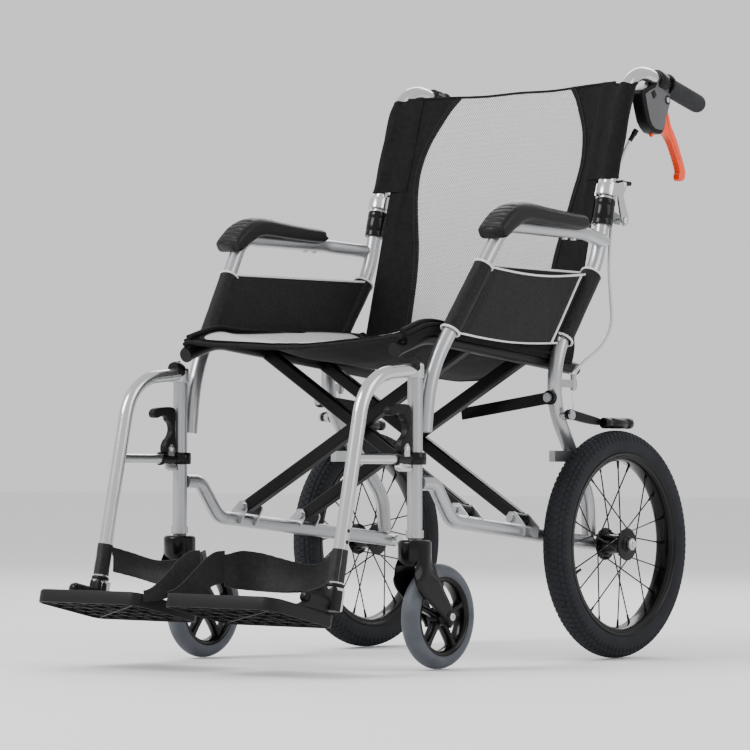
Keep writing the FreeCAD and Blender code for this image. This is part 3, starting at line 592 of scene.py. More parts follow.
def back_point(share, height, lift=0.0):
    """A point on the sling's front face: share runs -1..1 across it."""
    across = share * BACK_HALF
    bow = 27 * (1 - share * share)
    crease = 3.2 * math.exp(-((abs(across) - 186) / 7) ** 2) * ramp(height, 560, 760)
    ripple = 2.2 * noise.noise(Vector((across * 0.016, height * 0.011, 3.1)))
    ripple += 0.9 * noise.noise(Vector((across * 0.05, height * 0.02, 8.4)))
    return at(across, back_line(height) + bow - crease + ripple * (1 - share ** 6) - lift, height)


def across_stops(height):
    """Shares across the sling whose columns follow the mesh panel's edge."""
    edge = through(MESH_HALF, height) / BACK_HALF
    left = [-1 + (1 - edge) * k / EDGE_COLUMNS for k in range(EDGE_COLUMNS)]
    middle = [-edge + 2 * edge * k / MESH_COLUMNS for k in range(MESH_COLUMNS)]
    right = [edge + (1 - edge) * k / EDGE_COLUMNS for k in range(EDGE_COLUMNS + 1)]
    return left + middle + right


def thickened(rows, depth):
    """A sheet with two skins and closed edges; depth is how far off the back skin lies."""
    height, width = len(rows), len(rows[0])
    front = [point for row in rows for point in row]
    count = len(front)
    back = []
    for i, row in enumerate(rows):
        for j in range(width):
            run = row[min(j + 1, width - 1)] - row[max(j - 1, 0)]
            rise = rows[min(i + 1, height - 1)][j] - rows[max(i - 1, 0)][j]
            back.append(row[j] + run.cross(rise).normalized() * depth)
    faces = []
    for i in range(height - 1):
        for j in range(width - 1):
            a, d = i * width + j, (i + 1) * width + j
            b, c = a + 1, d + 1
            faces.append((a, b, c, d))
            faces.append((d + count, c + count, b + count, a + count))
    rim = list(range(width))
    rim += [i * width + width - 1 for i in range(1, height)]
    rim += [(height - 1) * width + j for j in range(width - 2, -1, -1)]
    rim += [i * width for i in range(height - 2, 0, -1)]
    for a, b in zip(rim, rim[1:] + rim[:1]):
        faces.append((b, a, a + count, b + count))
    return front + back, faces


def paint_middle(piece, look, columns, first, last, rows):
    """Give the front faces from one column to another, in the first and last rows given, a look."""
    piece.data.materials.append(look)
    for index, face in enumerate(piece.data.polygons):
        row, column = divmod(index // 2, columns)
        if index % 2 == 0 and row in rows and first <= column < last:
            face.material_index = 1


CLOTH = 2.2 * MM


def sling_part(name, heights, top_wave, extra_rows, body):
    """One height of the back sling, with its mesh panel; extra rows carry on from the top."""
    rows = []
    for height in heights:
        waved = [height + top_wave(share, height) for share in across_stops(height)]
        rows.append([back_point(share, h) for share, h in zip(across_stops(height), waved)])
    rows += extra_rows
    shape = thickened(rows, -CLOTH)
    piece = put(name, shape, "sling_fabric", body, ["back_sling"])
    edge = EDGE_COLUMNS
    columns = 2 * edge + MESH_COLUMNS
    paint_middle(piece, BACK_MESH_LOOK, columns, edge, columns - edge, range(len(heights) - 1))
    return piece


def no_wave(share, height):
    """The lower cloth's top edge is straight."""
    return 0.0


def crown_wave(share, height):
    """The top edge runs nearly straight from cane to cane."""
    return (11 + 2 * share ** 4 + 0.8 * math.cos(share * 9)) * ramp(height, 830, 884)


upper_heights = [676 + (884 - 676) * k / 46 for k in range(47)]
upper_back = sling_part("back_cloth_upper", upper_heights, crown_wave, [], "cane_right")

hood_rows = []
for step in range(1, 25):
    turn = math.radians(104) * step / 24
    row = []
    for share in across_stops(676):
        edge = back_point(share, 676)
        reach = HINGE[0] - 1.5 - (edge.y - AXLE.y) / MM
        row.append(
            at(edge.x / MM, HINGE[0] - reach * math.cos(turn), HINGE[1] + reach * math.sin(turn))
        )
    hood_rows.append(row)
lower_heights = [474 + (676 - 474) * k / 44 for k in range(45)]
lower_back = sling_part("back_cloth_lower", lower_heights, no_wave, hood_rows, "frame_right")


def cane_sleeve(side):
    """The sling's black panel wrapped round the cane to a seam behind it."""
    rows = []
    for k in range(40):
        height = 741 + (894 - 741) * k / 39
        behind = cane_line(height) + 0.0115 * max(0, height - 871) ** 2
        row = []
        for step in range(31):
            angle = math.radians(130 - 230 * step / 30)
            pinch = 0.5 * math.sin(height * 0.09 + step * 0.5) + 0.7 * noise.noise(
                Vector((step * 0.3, height * 0.03, 1))
            )
            radius = 14.0 + pinch + (2.4 if k in (0, 39) else 0) * 0.4
            row.append(at(
                side * (CANE_X + radius * math.cos(angle)),
                behind - radius * math.sin(angle),
                height + 1.5 * math.sin(step * 0.4) * ramp(height, 860, 894),
            ))
        panel_height = min(height, 884)
        on_panel = [back_point(side * share, panel_height + crown_wave(share, panel_height), lift)
                    for share, lift in ((0.86, 1.3), (0.9, 1.6), (0.95, 2.2))]
        row = on_panel + row
        rows.append(row if side > 0 else row[::-1])
    return thickened(rows, -CLOTH * 0.9)


def strip(points, normals, width, thick):
    """A flat band along points: width across it, thick along its normals."""
    rows = []
    for i, (point, normal) in enumerate(zip(points, normals)):
        heading = (points[min(i + 1, len(points) - 1)] - points[max(i - 1, 0)]).normalized()
        side = heading.cross(normal).normalized()
        ring = []
        for a, b in rounded_section(width, thick, 5.0, 12):
            ring.append(point + side * a + normal * b)
        rows.append(ring)
    return capped(rows)


THREAD = 0.0005
STITCH = 0.0042


def stitches(points, normals, offset):
    """Short thread dashes beside a line of points."""
    shapes = []
    length = 0.0
    for i in range(len(points) - 1):
        run = points[i + 1] - points[i]
        length += run.length
        if length < STITCH:
            continue
        length = 0.0
        heading = run.normalized()
        side = heading.cross(normals[i]).normalized()
        middle = points[i] + side * offset + normals[i] * THREAD
        half = heading * STITCH * 0.32
        path = [middle - half - normals[i] * THREAD, middle, middle + half - normals[i] * THREAD]
        shapes.append(sweep(path, circle_section(THREAD, 5)))
    return merged(*shapes)


def seam_line(side, heights, wave):
    """Points and normals along the mesh panel's seam on one side."""
    points, normals = [], []
    for height in heights:
        share = side * through(MESH_HALF, height) / BACK_HALF
        h = height + wave(share, height)
        points.append(back_point(share, h, 0.6))
        beside = back_point(share + 0.02, h, 0.6) - points[-1]
        above_it = back_point(share, h + 2, 0.6) - points[-1]
        normals.append(beside.cross(above_it).normalized())
    return points, normals


def fine(low, high, step):
    """Evenly spaced values about a step apart."""
    count = int((high - low) / step)
    return [low + (high - low) * k / count for k in range(count + 1)]


def follow_fold(piece):
    """The piece gets its own copy of its mesh."""
    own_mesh(piece)


back_trim = {"upper": [], "lower": []}
thread_parts = {"upper": [], "lower": []}
for level_name, low, high, wave in (("upper", 676, 884, crown_wave), ("lower", 475, 676, no_wave)):
    for side in (1, -1):
        points, normals = seam_line(side, fine(low, high, 1.5), wave)
        back_trim[level_name].append(strip(points, normals, 9 * MM, 1.6 * MM))
        points, normals = seam_line(side, fine(low, high, 1.0), wave)
        lifted = [p + n * 0.0008 for p, n in zip(points, normals)]
        for offset in (-0.0032, 0.0032):
            thread_parts[level_name].append(stitches(lifted, normals, offset))
top_edge, top_normals = [], []
for k in range(121):
    share = -1 + 2 * k / 120
    height = 884 + crown_wave(share, 884)
    top_edge.append(back_point(share, height))
    top_normals.append(Vector((0, -1, 0.25)).normalized())
back_trim["upper"].append(sweep(top_edge, circle_section(0.0021, 10)))
top_hem = [point - Vector((0, 0.0006, 0.009)) for point in top_edge]
thread_parts["upper"].append(stitches(top_hem, top_normals, 0.0))
for level_name, body in (("upper", "cane_right"), ("lower", "frame_right")):
    trim = put(
        f"back_binding_{level_name}", merged(*back_trim[level_name]), BINDING_LOOK, body,
    )
    thread = put(
        f"back_stitching_{level_name}", merged(*thread_parts[level_name]), THREAD_LOOK, body,
    )
    follow_fold(trim)
    follow_fold(thread)
sleeve_pieces = [put(f"cane_sleeve_{name}", cane_sleeve(sign), "sling_fabric", "cane_right")
                 for name, sign in SIDES.items()]
for piece in [upper_back, lower_back] + sleeve_pieces:
    follow_fold(piece)

# ---------------------------------------------------------------- seat sling

def rail_height(station):
    """The seat rail's centre height."""
    d = station + 422
    if d < -22:
        return 481.8 + 0.32 * d
    if d > 22:
        return 481.8 - 0.1 * d
    return 481.8 - 0.00477 * d * d + 0.11 * d - 2.31


SEAT_FRONT, SEAT_BACK = -486.0, -66.0
SEAT_MESH = 203.0
MESH_FRONT, MESH_BACK = -470.0, -82.0
NOSE = 25.0
CREST = 497.0
SEAT_EDGE = 214.0


def edge_lift(station):
    """How far the sling's edge stands above the rail's centre; its crest stays up to the back."""
    crest = CREST + 11 * ramp(station, -400, -150)
    return 19 + max(0.0, crest - 19 - rail_height(station)) * ramp(station, -440, -380)


SEAT_SIDE_COLUMNS, SEAT_MIDDLE_COLUMNS = 24, 36


def seat_height(across, station, lift=0.0):
    """The seat cloth's height: its sag, its small waves, and its fall over the rails."""
    share = min(1.0, abs(across) / 204)
    sag = (12 + 32 * ramp(station, -480, -330) + 0.8 * (edge_lift(station) - 19)) * (1 - share ** 2)
    wave = 2.4 * noise.noise(Vector((across * 0.015, station * 0.012, 5.5)))
    wave += 0.9 * noise.noise(Vector((across * 0.05, station * 0.03, 2.5)))
    over_rail = 4 * ramp(abs(across), 204, SEAT_EDGE)
    height = rail_height(station) + edge_lift(station) - sag
    return height + wave * (1 - share ** 8) - over_rail + lift


def front_dip(across, station):
    """The front hem pulls down a little between the rails."""
    return 1 * ramp(-station, 470, 486) * (1 - min(1.0, abs(across) / 204) ** 2)


def seat_row(station):
    """Across the seat from the fold on one rail over the sag to the fold on the other."""
    edge = mesh_edge(station)
    count, middle = SEAT_SIDE_COLUMNS, SEAT_MIDDLE_COLUMNS
    outer = [SEAT_EDGE - (SEAT_EDGE - edge) * k / count for k in range(count)]
    inner = [edge - 2 * edge * k / middle for k in range(middle + 1)]
    flat = outer + inner + [-x for x in outer[::-1]]
    return [at(x, station, seat_height(x, station) - front_dip(x, station)) for x in flat]


def mesh_edge(station):
    """Half width of the seat's light panel: it closes in a round nose at both ends."""
    ahead = station - MESH_FRONT
    behind = MESH_BACK - station
    near_end = min(ahead, behind)
    if near_end <= 0:
        return 6.0
    if near_end >= NOSE:
        return SEAT_MESH
    return SEAT_MESH - NOSE + NOSE * math.sqrt(1 - (1 - near_end / NOSE) ** 2)


seat_stations = [SEAT_FRONT + (SEAT_BACK - SEAT_FRONT) * k / 90 for k in range(91)]
seat_rows = [seat_row(station) for station in seat_stations]
seat_cloth = put("seat_cloth", thickened(seat_rows, CLOTH), "sling_fabric", None, ["seat_sling"])
seat_between = [(a + b) / 2 for a, b in zip(seat_stations, seat_stations[1:])]
mesh_rows = [k for k, station in enumerate(seat_between) if MESH_FRONT < station < MESH_BACK]
mesh_end = SEAT_SIDE_COLUMNS + SEAT_MIDDLE_COLUMNS
paint_middle(
    seat_cloth, SEAT_MESH_LOOK, len(seat_rows[0]) - 1, SEAT_SIDE_COLUMNS, mesh_end, mesh_rows
)


def on_seat(across, station, lift=0.6):
    """A point just above the seat cloth."""
    return at(across, station, seat_height(across, station, lift) - front_dip(across, station))


def seat_loop_points():
    """The ring round the seat's mesh panel."""
    line = []
    for k in range(160):
        station = -469.5 + 387 * k / 159
        line.append((mesh_edge(station), station))
    far = [(-x, s) for x, s in line[::-1]]
    flat = SEAT_MESH - NOSE
    front = [(flat * (k / 20 - 1), MESH_FRONT) for k in range(1, 40)]
    back = [(flat * (1 - k / 20), MESH_BACK) for k in range(1, 40)]
    ring = line + back + far + front
    return [on_seat(x, s) for x, s in ring]


seat_ring = seat_loop_points()
seat_up = [Vector((0, 0, 1))] * len(seat_ring)
seat_binding = put(
    "seat_binding", strip(seat_ring + seat_ring[:1], seat_up + seat_up[:1], 8 * MM, 1.6 * MM),
    BINDING_LOOK, None
)
hem_lines = []
for station in (SEAT_FRONT + 1, SEAT_BACK - 1):
    edge_line = [on_seat(-212 + 424 * k / 96, station, -0.5) for k in range(97)]
    hem_lines.append(sweep(edge_line, circle_section(0.0032, 10)))
for side in (1, -1):
    for reach, rise, width, depth in ((213, 13.6, 10, 6), (210, 19.4, 12, 6.4), (206, 25.2, 11, 6)):
        fold_line = []
        for k in range(80):
            station = -480 + 404 * k / 79
            sway = 1.4 * math.sin(station * 0.031 + reach) + 0.6 * math.sin(station * 0.09)
            climb = (edge_lift(station) - 19) * (rise - 13.6) / 11.6
            fold_line.append(
                at(side * (reach + sway), station, rail_height(station) + rise + climb * 0.6)
            )
        hem_lines.append(
            sweep(fold_line, rounded_section(width * MM, depth * MM, 2.6, 14), up=Vector((0, 0, 1)))
        )
for side in (1, -1):
    skirt = []
    for k in range(80):
        station = -480 + 410 * k / 79
        rail, lift = rail_height(station), edge_lift(station)
        drop = [
            (213.0, lift - 5), (216.0, lift * 0.75), (216.8, lift * 0.5), (215.0, lift * 0.3),
            (211.5, 5.0)
        ]
        skirt.append([at(side * reach, station, rail + height) for reach, height in drop])
    hem_lines.append(thickened(skirt, 1.7 * MM))
seat_hems = put("seat_hems", merged(*hem_lines), BINDING_LOOK, None)
bundles = []
for side in (1, -1):
    for turn, (reach, height, size) in enumerate(((207, 15, 5.6), (201, 9, 4.6), (211, 8, 4.0))):
        knots = []
        for k in range(7):
            station = -487 + 6 * k
            wander = 2 * math.sin(k + turn)
            knots.append(
                at(
                    side * (reach + wander), station,
                    rail_height(station) + height + 1.5 * math.sin(k * 1.7)
                )
            )
        bundles.append(sweep(curve_through(knots, 26), circle_section(size * MM, 14, 0.75),
                             scale=lambda t: 0.55 + 0.5 * math.sin(math.pi * min(1, t * 1.2))))
seat_bundles = put("seat_front_rolls", merged(*bundles), "sling_fabric", None)
for piece in (seat_cloth, seat_binding, seat_hems, seat_bundles):
    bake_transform(piece)

# ---------------------------------------------------------------- armrest pads

PAD_LINE = [
    (-124, 663.5, 9.0), (-127, 663.5, 12.0), (-160, 664.3, 12.8), (-215, 667.0, 14.0),
    (-262, 669.8, 15.0), (-286, 666.5, 15.3), (-305, 657.5, 15.5), (-320, 647.0, 14.0),
    (-331, 638.0, 12.5), (-336, 634.5, 7.0),
]
PAD_STEPS, PAD_RING = 150, 60


def armrest_pad():
    """The arm pad, thinner towards its two ends, along its line."""
    line = curve_through([at(258, s, h) for s, h, _ in PAD_LINE], PAD_STEPS)
    thick = curve_through([Vector((t, 0, 0)) for _, _, t in PAD_LINE], PAD_STEPS)
    rows = []
    for i, (point, (side, upward)) in enumerate(zip(line, frames_along(line, Vector((0, 0, 1))))):
        t = i / (PAD_STEPS - 1)
        nose = math.sqrt(max(0.0, 1 - ramp(t, 0.9, 1.0) ** 2 * 0.75)) * (
            0.86 + 0.14 * ramp(t, 0, 0.03)
        )
        half_across = 26 * nose * (0.93 + 0.07 * math.sin(t * 3))
        ring = []
        for k in range(PAD_RING):
            angle = 2 * math.pi * (k + 0.5) / PAD_RING
            c, s = math.cos(angle), math.sin(angle)
            power = 2.6 if s > 0 else 5.0
            reach = (abs(c) ** power + abs(s) ** power) ** (-1 / power)
            a, b = half_across * reach * c, thick[i].x * reach * s
            if s > 0:
                recess = (1 - ramp(abs(a), 15.5, 18.5)) * ramp(t, 0.57, 0.6) * (
                    1 - ramp(t, 0.9, 0.93)
                )
                groove = max(
                    math.exp(-((t - place) / 0.0085) ** 2) for place in (0.64, 0.71, 0.78, 0.85)
                )
                b -= recess * (1.3 + 2.1 * groove)
            parting = math.exp(-((b - 1.5) / 0.9) ** 2)
            a -= 0.55 * parting * (1 if c > 0 else -1)
            ring.append(point + side * (a * MM) + upward * (b * MM))
        rows.append(ring)
    return capped(rows)


pads = pair("armrest_cushion", armrest_pad(), "armrest_foam", "frame", ["armrest_pad"], 50)
screws = [bolt(at(257, s, 638.5), (0, 0, -1), 4.4 * MM, 2.6 * MM) for s in (-128, -150)]
pair("armrest_screws", merged(*screws), "axle_steel", "frame")

# ---------------------------------------------------------------- side guards

GUARD_TOP = [(249.0, -342.0, 588.0), (226.0, -41.0, 590.0)]
GUARD_LOW = [(237.0, -404.0, 490.0), (225.0, -118.0, 482.0)]


def guard_point(along, up, lift=0.0):
    """A point of the guard: along runs from front sleeve to back one, up from bottom to top."""
    low = [a + (b - a) * along for a, b in zip(*GUARD_LOW)]
    top = [a + (b - a) * along for a, b in zip(*GUARD_TOP)]
    x, s, h = [a + (b - a) * up for a, b in zip(low, top)]
    belly = math.sin(math.pi * along)
    h += -9 * belly * up ** 3 - 7 * belly * (1 - up) ** 2
    x += 4.5 * belly * math.sin(math.pi * min(1, up * 1.1) ** 0.8)
    x += 1.5 * noise.noise(Vector((along * 4, up * 2.2, 4.0))) * belly
    x -= 1.6 * math.exp(-((along - 0.1) / 0.022) ** 2) + 1.2 * math.exp(
        -((along - 0.9) / 0.025) ** 2
    )
    return at(x + lift, s, h)


guard_rows = []
for k in range(31):
    guard_rows.append([guard_point(j / 64, k / 30) for j in range(65)])
guard_faces = [thickened(guard_rows, 2.6 * MM)]


def sleeve_round(low_point, high_point, radius):
    """Cloth wrapped round a tube between two points, open along its seam."""
    axis = (high_point - low_point).normalized()
    side = Vector((1, 0, 0))
    side = (side - axis * side.dot(axis)).normalized()
    fore = axis.cross(side)
    rows = []
    for k in range(28):
        t = k / 27
        centre = low_point.lerp(high_point, t)
        row = []
        for step in range(37):
            angle = math.radians(10 * step)
            wave = 0.5 * noise.noise(Vector((step * 0.25, t * 6, low_point.y * 9)))
            flare = 0.5 * (ramp(t, 0.93, 1) + 1 - ramp(t, 0, 0.07))
            reach = (radius + wave + flare) * MM
            row.append(centre + side * (reach * math.cos(angle)) + fore * (reach * math.sin(angle)))
        rows.append(row)
    return thickened(rows, 1.7 * MM)


front_low, front_high = at(236.7, -404.6, 490), at(249.2, -342, 588)
guard_faces.append(sleeve_round(front_low, front_high, 12.2))
post_low, post_high = at(226.2, -113.4, 487), at(226.9, -38.2, 590)
guard_faces.append(sleeve_round(post_low, post_high, 14.0))
inner_corners = [
    [at(224.5, -404.6, 489), at(213.5, -97.3, 509)], [at(236.7, -342, 590), at(214.5, -38.2, 592)]
]


def inner_point(along, up):
    """The guard's inner sheet, drawn straight between the two sleeves."""
    low = inner_corners[0][0].lerp(inner_corners[0][1], along)
    top = inner_corners[1][0].lerp(inner_corners[1][1], along)
    return low.lerp(top, up) - Vector(
        (0.0012 * math.sin(math.pi * along) * math.sin(math.pi * up), 0, 0)
    )


inner_rows = [[inner_point(j / 64, k / 30) for j in range(65)] for k in range(31)]
guard_faces.append(thickened(inner_rows, 1.7 * MM))
guard_cloth = pair(
    "side_guard_cloth", merged(*guard_faces), "guard_fabric", "frame", ["side_guard"], 50
)

piping = []
top_line = [guard_point(j / 90, 1.0, 1.2) for j in range(91)]
low_line = [guard_point(j / 90, 0.0, 1.2) for j in range(91)]
piping.append(sweep(top_line, circle_section(0.0019, 10)))
piping.append(sweep(low_line, circle_section(0.0019, 10)))
piping.append(
    sweep(
        [inner_point(j / 90, 1.0) + Vector((0.0008, 0, 0)) for j in range(91)],
        circle_section(0.0019, 10)
    )
)
for low_end, high_end, reach in ((front_low, front_high, 0.0142), (post_low, post_high, 0.0160)):
    axis = (high_end - low_end).normalized()
    for end in (low_end, high_end):
        ring_profile = [(0.0018 * math.cos(a), reach + 0.0018 * math.sin(a)) for a in
                        [2 * math.pi * k / 10 for k in range(10)]]
        piping.append(lathe(ring_profile, end, axis, 40))
edge_line = [guard_point(0.905, j / 30, 3.4) for j in range(31)]
piping.append(sweep(edge_line, circle_section(0.0019, 10)))
pair("guard_piping", merged(*piping), PIPING_LOOK, "frame")
guard_threads = []
for along in (0.085, 0.1, 0.93):
    line = [guard_point(along, j / 110, 2.9) for j in range(111)]
    guard_threads.append(stitches(line, [Vector((1, 0, 0))] * 111, 0.0))
line = [guard_point(0.1 + 0.8 * j / 200, 0.945, 2.9) for j in range(201)]
guard_threads.append(stitches(line, [Vector((1, 0, 0))] * 201, 0.0))
pair("guard_stitching", merged(*guard_threads), THREAD_LOOK, "frame")
snap = guard_point(0.97, 0.06, 3.0)
pair(
    "guard_snap",
    merged(
        dome(snap, (1, 0, 0), 0.0052, 0.0026),
        lathe(
            [(0.0, 0.0052), (0.0012, 0.0058), (0.0014, 0.0064), (0.0, 0.0068)], snap, (1, 0, 0), 24
        )
    ),
    "axle_steel", "frame"
)

# ---------------------------------------------------------------- hinge sleeves and caps

post_axis = (at(227, 0.2, 712) - at(227, -25, 608)).normalized()
cane_axis = (at(227, 65, 923.5) - at(227, -0.9, 712.5)).normalized()
sleeve_profile = [
    (0, 0.0112), (0, 0.0148), (0.001, 0.0157), (0.008, 0.0158), (0.0095, 0.0152), (0.011, 0.0158)
]
sleeve_profile += [
    (0.030, 0.0158), (0.0315, 0.0152), (0.033, 0.0158), (0.040, 0.0158), (0.0418, 0.0148),
    (0.0418, 0.0112)
]
hinge_sleeve = lathe(sleeve_profile, at(227, 0.2, 712) - post_axis * 0.0465, post_axis, 48)
pair("hinge_sleeve", hinge_sleeve, gloss_black("hinge_black"), "frame")
cap_profile = [
    (0, 0.0112), (0, 0.0158), (0.0155, 0.0158), (0.0178, 0.0149), (0.019, 0.0128), (0.019, 0.0112)
]
pair(
    "cane_collar", lathe(cap_profile, at(227, -0.9, 712.5) + cane_axis * 0.0008, cane_axis, 48),
    "hanger_silver", "cane"
)
pins = []
for side in (-1, 1):
    pins.append(dome(at(CANE_X + side * 17.5, *HINGE), (side, 0, 0), 0.0055, 0.0028))
    pins.append(dome(at(CANE_X + side * 16.4, 28, 732), (side, 0, 0), 0.0042, 0.0018))
pair("hinge_rivets", merged(*pins), "axle_steel", "cane")
catch_side = [
    (22.5, 737.5), (29, 740), (36, 739), (45, 738.6), (53, 739), (56, 735.5), (53, 732), (44, 731),
    (36, 728), (29, 726), (24, 727)
]
pair(
    "hinge_catch", slab(catch_side, CANE_X, 21.6, 1.6, 3), "black_plastic", "hinge_latch",
    ["hinge_latch"]
)

# ---------------------------------------------------------------- push grips and brake levers

bend_point, grip_end = at(227, 65, 923.5), at(222, 262, 879.5)
grip_axis = (grip_end - bend_point).normalized()
grip_start = bend_point + grip_axis * 0.105
grip_length = (grip_end - grip_start).length + 0.004
profile = [
    (0.0, 0.0112), (0.0, 0.0165), (0.0012, 0.0178), (0.0038, 0.0178), (0.005, 0.0166),
    (0.006, 0.0148)
]
profile += [
    (0.009, 0.0146), (0.02, 0.0149), (grip_length * 0.5, 0.015), (grip_length - 0.02, 0.0149)
]
profile += [
    (grip_length - 0.006, 0.0147), (grip_length - 0.002, 0.0138), (grip_length, 0.012),
    (grip_length, 0.0112)
]
pair("foam_grip", lathe(profile, grip_start, grip_axis, 40), "grip_rubber", "cane", ["push_grip"])
end_profile = [
    (0, 0.0001), (0, 0.0118), (0.0015, 0.0128), (0.0032, 0.0122), (0.0045, 0.0095), (0.005, 0.0001)
]
pair(
    "grip_end_cap", turned(end_profile, grip_end + grip_axis * 0.002, grip_axis, 32),
    "black_plastic", "cane"
)
flange_profile = [
    (-0.0006, 0.0112), (-0.0006, 0.0182), (0.0006, 0.0188), (0.0032, 0.0188), (0.0044, 0.0182),
    (0.0044, 0.0112)
]
pair(
    "grip_flange", lathe(flange_profile, grip_start - grip_axis * 0.003, grip_axis, 48),
    "black_plastic", "cane"
)

LEVER_X = 222.0
housing_side = [
    (139, 920), (150, 918.5), (159, 914), (163, 900), (168, 889), (169, 872), (164, 861),
    (158, 850), (153, 831), (147, 822.5), (140, 820), (123, 822), (112, 829), (104, 838), (95, 861),
    (89, 881), (92, 886.5), (106, 892), (123, 898),
]
housing = slab(housing_side, LEVER_X, 22, 4.5, 3)
cheek_side = [
    (139, 916), (149, 914.5), (155.5, 911), (159.5, 899), (164.5, 887), (165.5, 873), (161, 863),
    (154.5, 851), (149.5, 833), (144.5, 826.5), (126, 827.5), (117, 832), (110, 841), (102, 862),
    (97, 880), (108, 886.5), (125, 893),
]
cheeks = [slab(cheek_side, LEVER_X + side * 11.2, 2.4, 0.9, 2) for side in (-1, 1)]
clamp_ring = lathe(
    [
        (-0.0115, 0.0112), (-0.0115, 0.0150), (-0.0095, 0.0163), (0.0095, 0.0163), (0.0115, 0.0150),
        (0.0115, 0.0112)
    ],
    bend_point + grip_axis * 0.083, grip_axis, 40
)
pair(
    "brake_housing_shell", merged(housing, clamp_ring), "black_plastic", "cane",
    ["brake_lever_body"]
)
pair("brake_housing_cheeks", merged(*cheeks), "brake_housing", "cane")
pivot_parts, ring_parts = [], []
for side in (-1, 1):
    pivot = at(LEVER_X + side * 12.2, 158, 876)
    pivot_parts.append(bolt(pivot, (side, 0, 0), 4.2 * MM, 2.2 * MM))
    ring_parts.append(
        lathe(
            [
                (-0.004, 0.0046), (0.0006, 0.0046), (0.0012, 0.0062), (0.0004, 0.0076),
                (-0.004, 0.0076)
            ],
            pivot, (side, 0, 0), 32
        )
    )
    ring_parts.append(
        slab([(112, 884), (121, 889), (127, 880), (118, 874)], LEVER_X + side * 12.6, 1.0, 0.3)
    )
pair("brake_pivot_screws", merged(*pivot_parts), "axle_steel", "cane")
pair("brake_pivot_rings", merged(*ring_parts), "bolt_black", "cane")

lever_side = [
    (147, 881), (155, 886), (162, 882), (168, 868), (171, 852), (174.5, 840.5), (186, 828),
    (197, 812), (207, 793), (215, 778), (219.5, 766), (218, 756), (212, 751), (205, 750.5),
    (200.5, 754), (200.5, 760), (203.5, 765.5), (201, 773), (195, 784), (187, 798), (177, 812),
    (168, 820), (156, 825.5), (146, 825), (139, 821),
]
lever = slab(lever_side, LEVER_X, 13, 2.8, 3)
rib_side = [
    (163, 858), (168, 856), (176, 836), (194, 810), (206, 786), (201, 783), (189, 803), (172, 824)
]
ribs = [slab(rib_side, LEVER_X + side * 6.5, 1.6, 0.6) for side in (-1, 1)]
pair(
    "brake_lever_blade", merged(lever, *ribs), "brake_lever_orange", "brake_lever", ["brake_lever"]
)
tip = dome(at(LEVER_X, 131, 821), (0, -0.35, -1), 0.0042, 0.006)
pair("brake_adjuster_tip", tip, "brake_lever_orange", "cane")

# ---------------------------------------------------------------- brake cables

CABLE_ROUTE = [
    (218, 87, 816), (210, 71, 790), (207, 57, 750), (206, 49, 702), (211, 33, 648), (224, 12, 596),
    (236, 1, 548), (240, -1, 512), (238, -25, 478), (233, -66, 456), (231, -91, 436.5),
]


def spline_points(route):
    """Points read from the smooth curve that has the route's points as its control points."""
    curve = bpy.data.curves.new("cable_route", "CURVE")
    curve.dimensions = "3D"
    curve.resolution_u = 16
    spline = curve.splines.new("NURBS")
    spline.points.add(len(route) - 1)
    for control, place in zip(spline.points, route):
        control.co = (*at(*place), 1)
    spline.order_u = 3
    spline.use_endpoint_u = True
    carrier = bpy.data.objects.new("cable_route", curve)
    line = bpy.data.meshes.new_from_object(carrier)
    points = [vertex.co.copy() for vertex in line.vertices]
    bpy.data.objects.remove(carrier)
    bpy.data.curves.remove(curve)
    bpy.data.meshes.remove(line)
    return points


cable_line = spline_points(CABLE_ROUTE)
cable_shape = sweep(cable_line, circle_section(0.0025, 12))
for side, sign in SIDES.items():
    shape = cable_shape if sign > 0 else flipped(cable_shape)
    cable = put(f"cable_{side}", shape, "cable_sheath", None, [f"brake_cable_{side}"], 60)
    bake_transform(cable)
top_run = (cable_line[0] - cable_line[3]).normalized()
ferrule = [
    (0, 0.0001), (0, 0.0036), (0.011, 0.0038), (0.013, 0.0046), (0.021, 0.0046), (0.0215, 0.0001)
]
pair(
    "cable_top_ferrule", turned(ferrule, cable_line[0] - top_run * 0.012, top_run, 24),
    "bolt_black", "cane"
)
low_run = (cable_line[-1] - cable_line[-4]).normalized()
pair(
    "cable_low_ferrule", turned(ferrule, cable_line[-1] - low_run * 0.016, low_run, 24),
    "axle_steel", "frame"
)
wire = curve_through([at(231, -91, 411), at(233, -94, 395), at(238, -100, 379)], 20)
pair(
    "brake_inner_wire", sweep(wire, circle_section(0.0008, 8)), "axle_steel", "frame",
)

# ---------------------------------------------------------------- rear wheels

def tread_cut(phase, across):
    """1 where the tread is grooved: fine rings, and cuts that step over from row to row."""
    rings = (0.16, 0.5, 0.8)
    if min(abs(abs(across) - ring) for ring in rings) < 0.045:
        return 1.0
    row = sum(abs(across) > ring for ring in rings)
    side = 0.25 if across > 0 else 0.0
    return 1.0 if (phase + 0.5 * (row % 2) + side + 0.3 * abs(across)) % 1.0 < 0.26 else 0.0


def tread_tyre():
    """A round tyre whose tread stands in four rows of small blocks on each side of its middle."""
    pitches, steps, ring = 104, 6, 56
    rows = []
    for k in range(pitches * steps):
        angle = 2 * math.pi * k / (pitches * steps)
        outward = Vector((0, math.cos(angle), math.sin(angle)))
        row = []
        for j in range(ring):
            turn = 2 * math.pi * j / ring
            across, out = math.sin(turn), math.cos(turn)
            shoulder = math.acos(max(-1, min(1, out)))
            radius = 22.0 - 1.2 * ramp(shoulder, 1.2, 1.4)
            radius -= 1.8 * tread_cut(k / steps, across) * (1 - ramp(shoulder, 1.15, 1.35))
            reach = max(153 + radius * out, 139.2)
            row.append(AXLE + Vector((radius * across * MM, 0, 0)) + outward * (reach * MM))
        rows.append(row)
    return grid(rows, closed_u=True, closed_v=True)


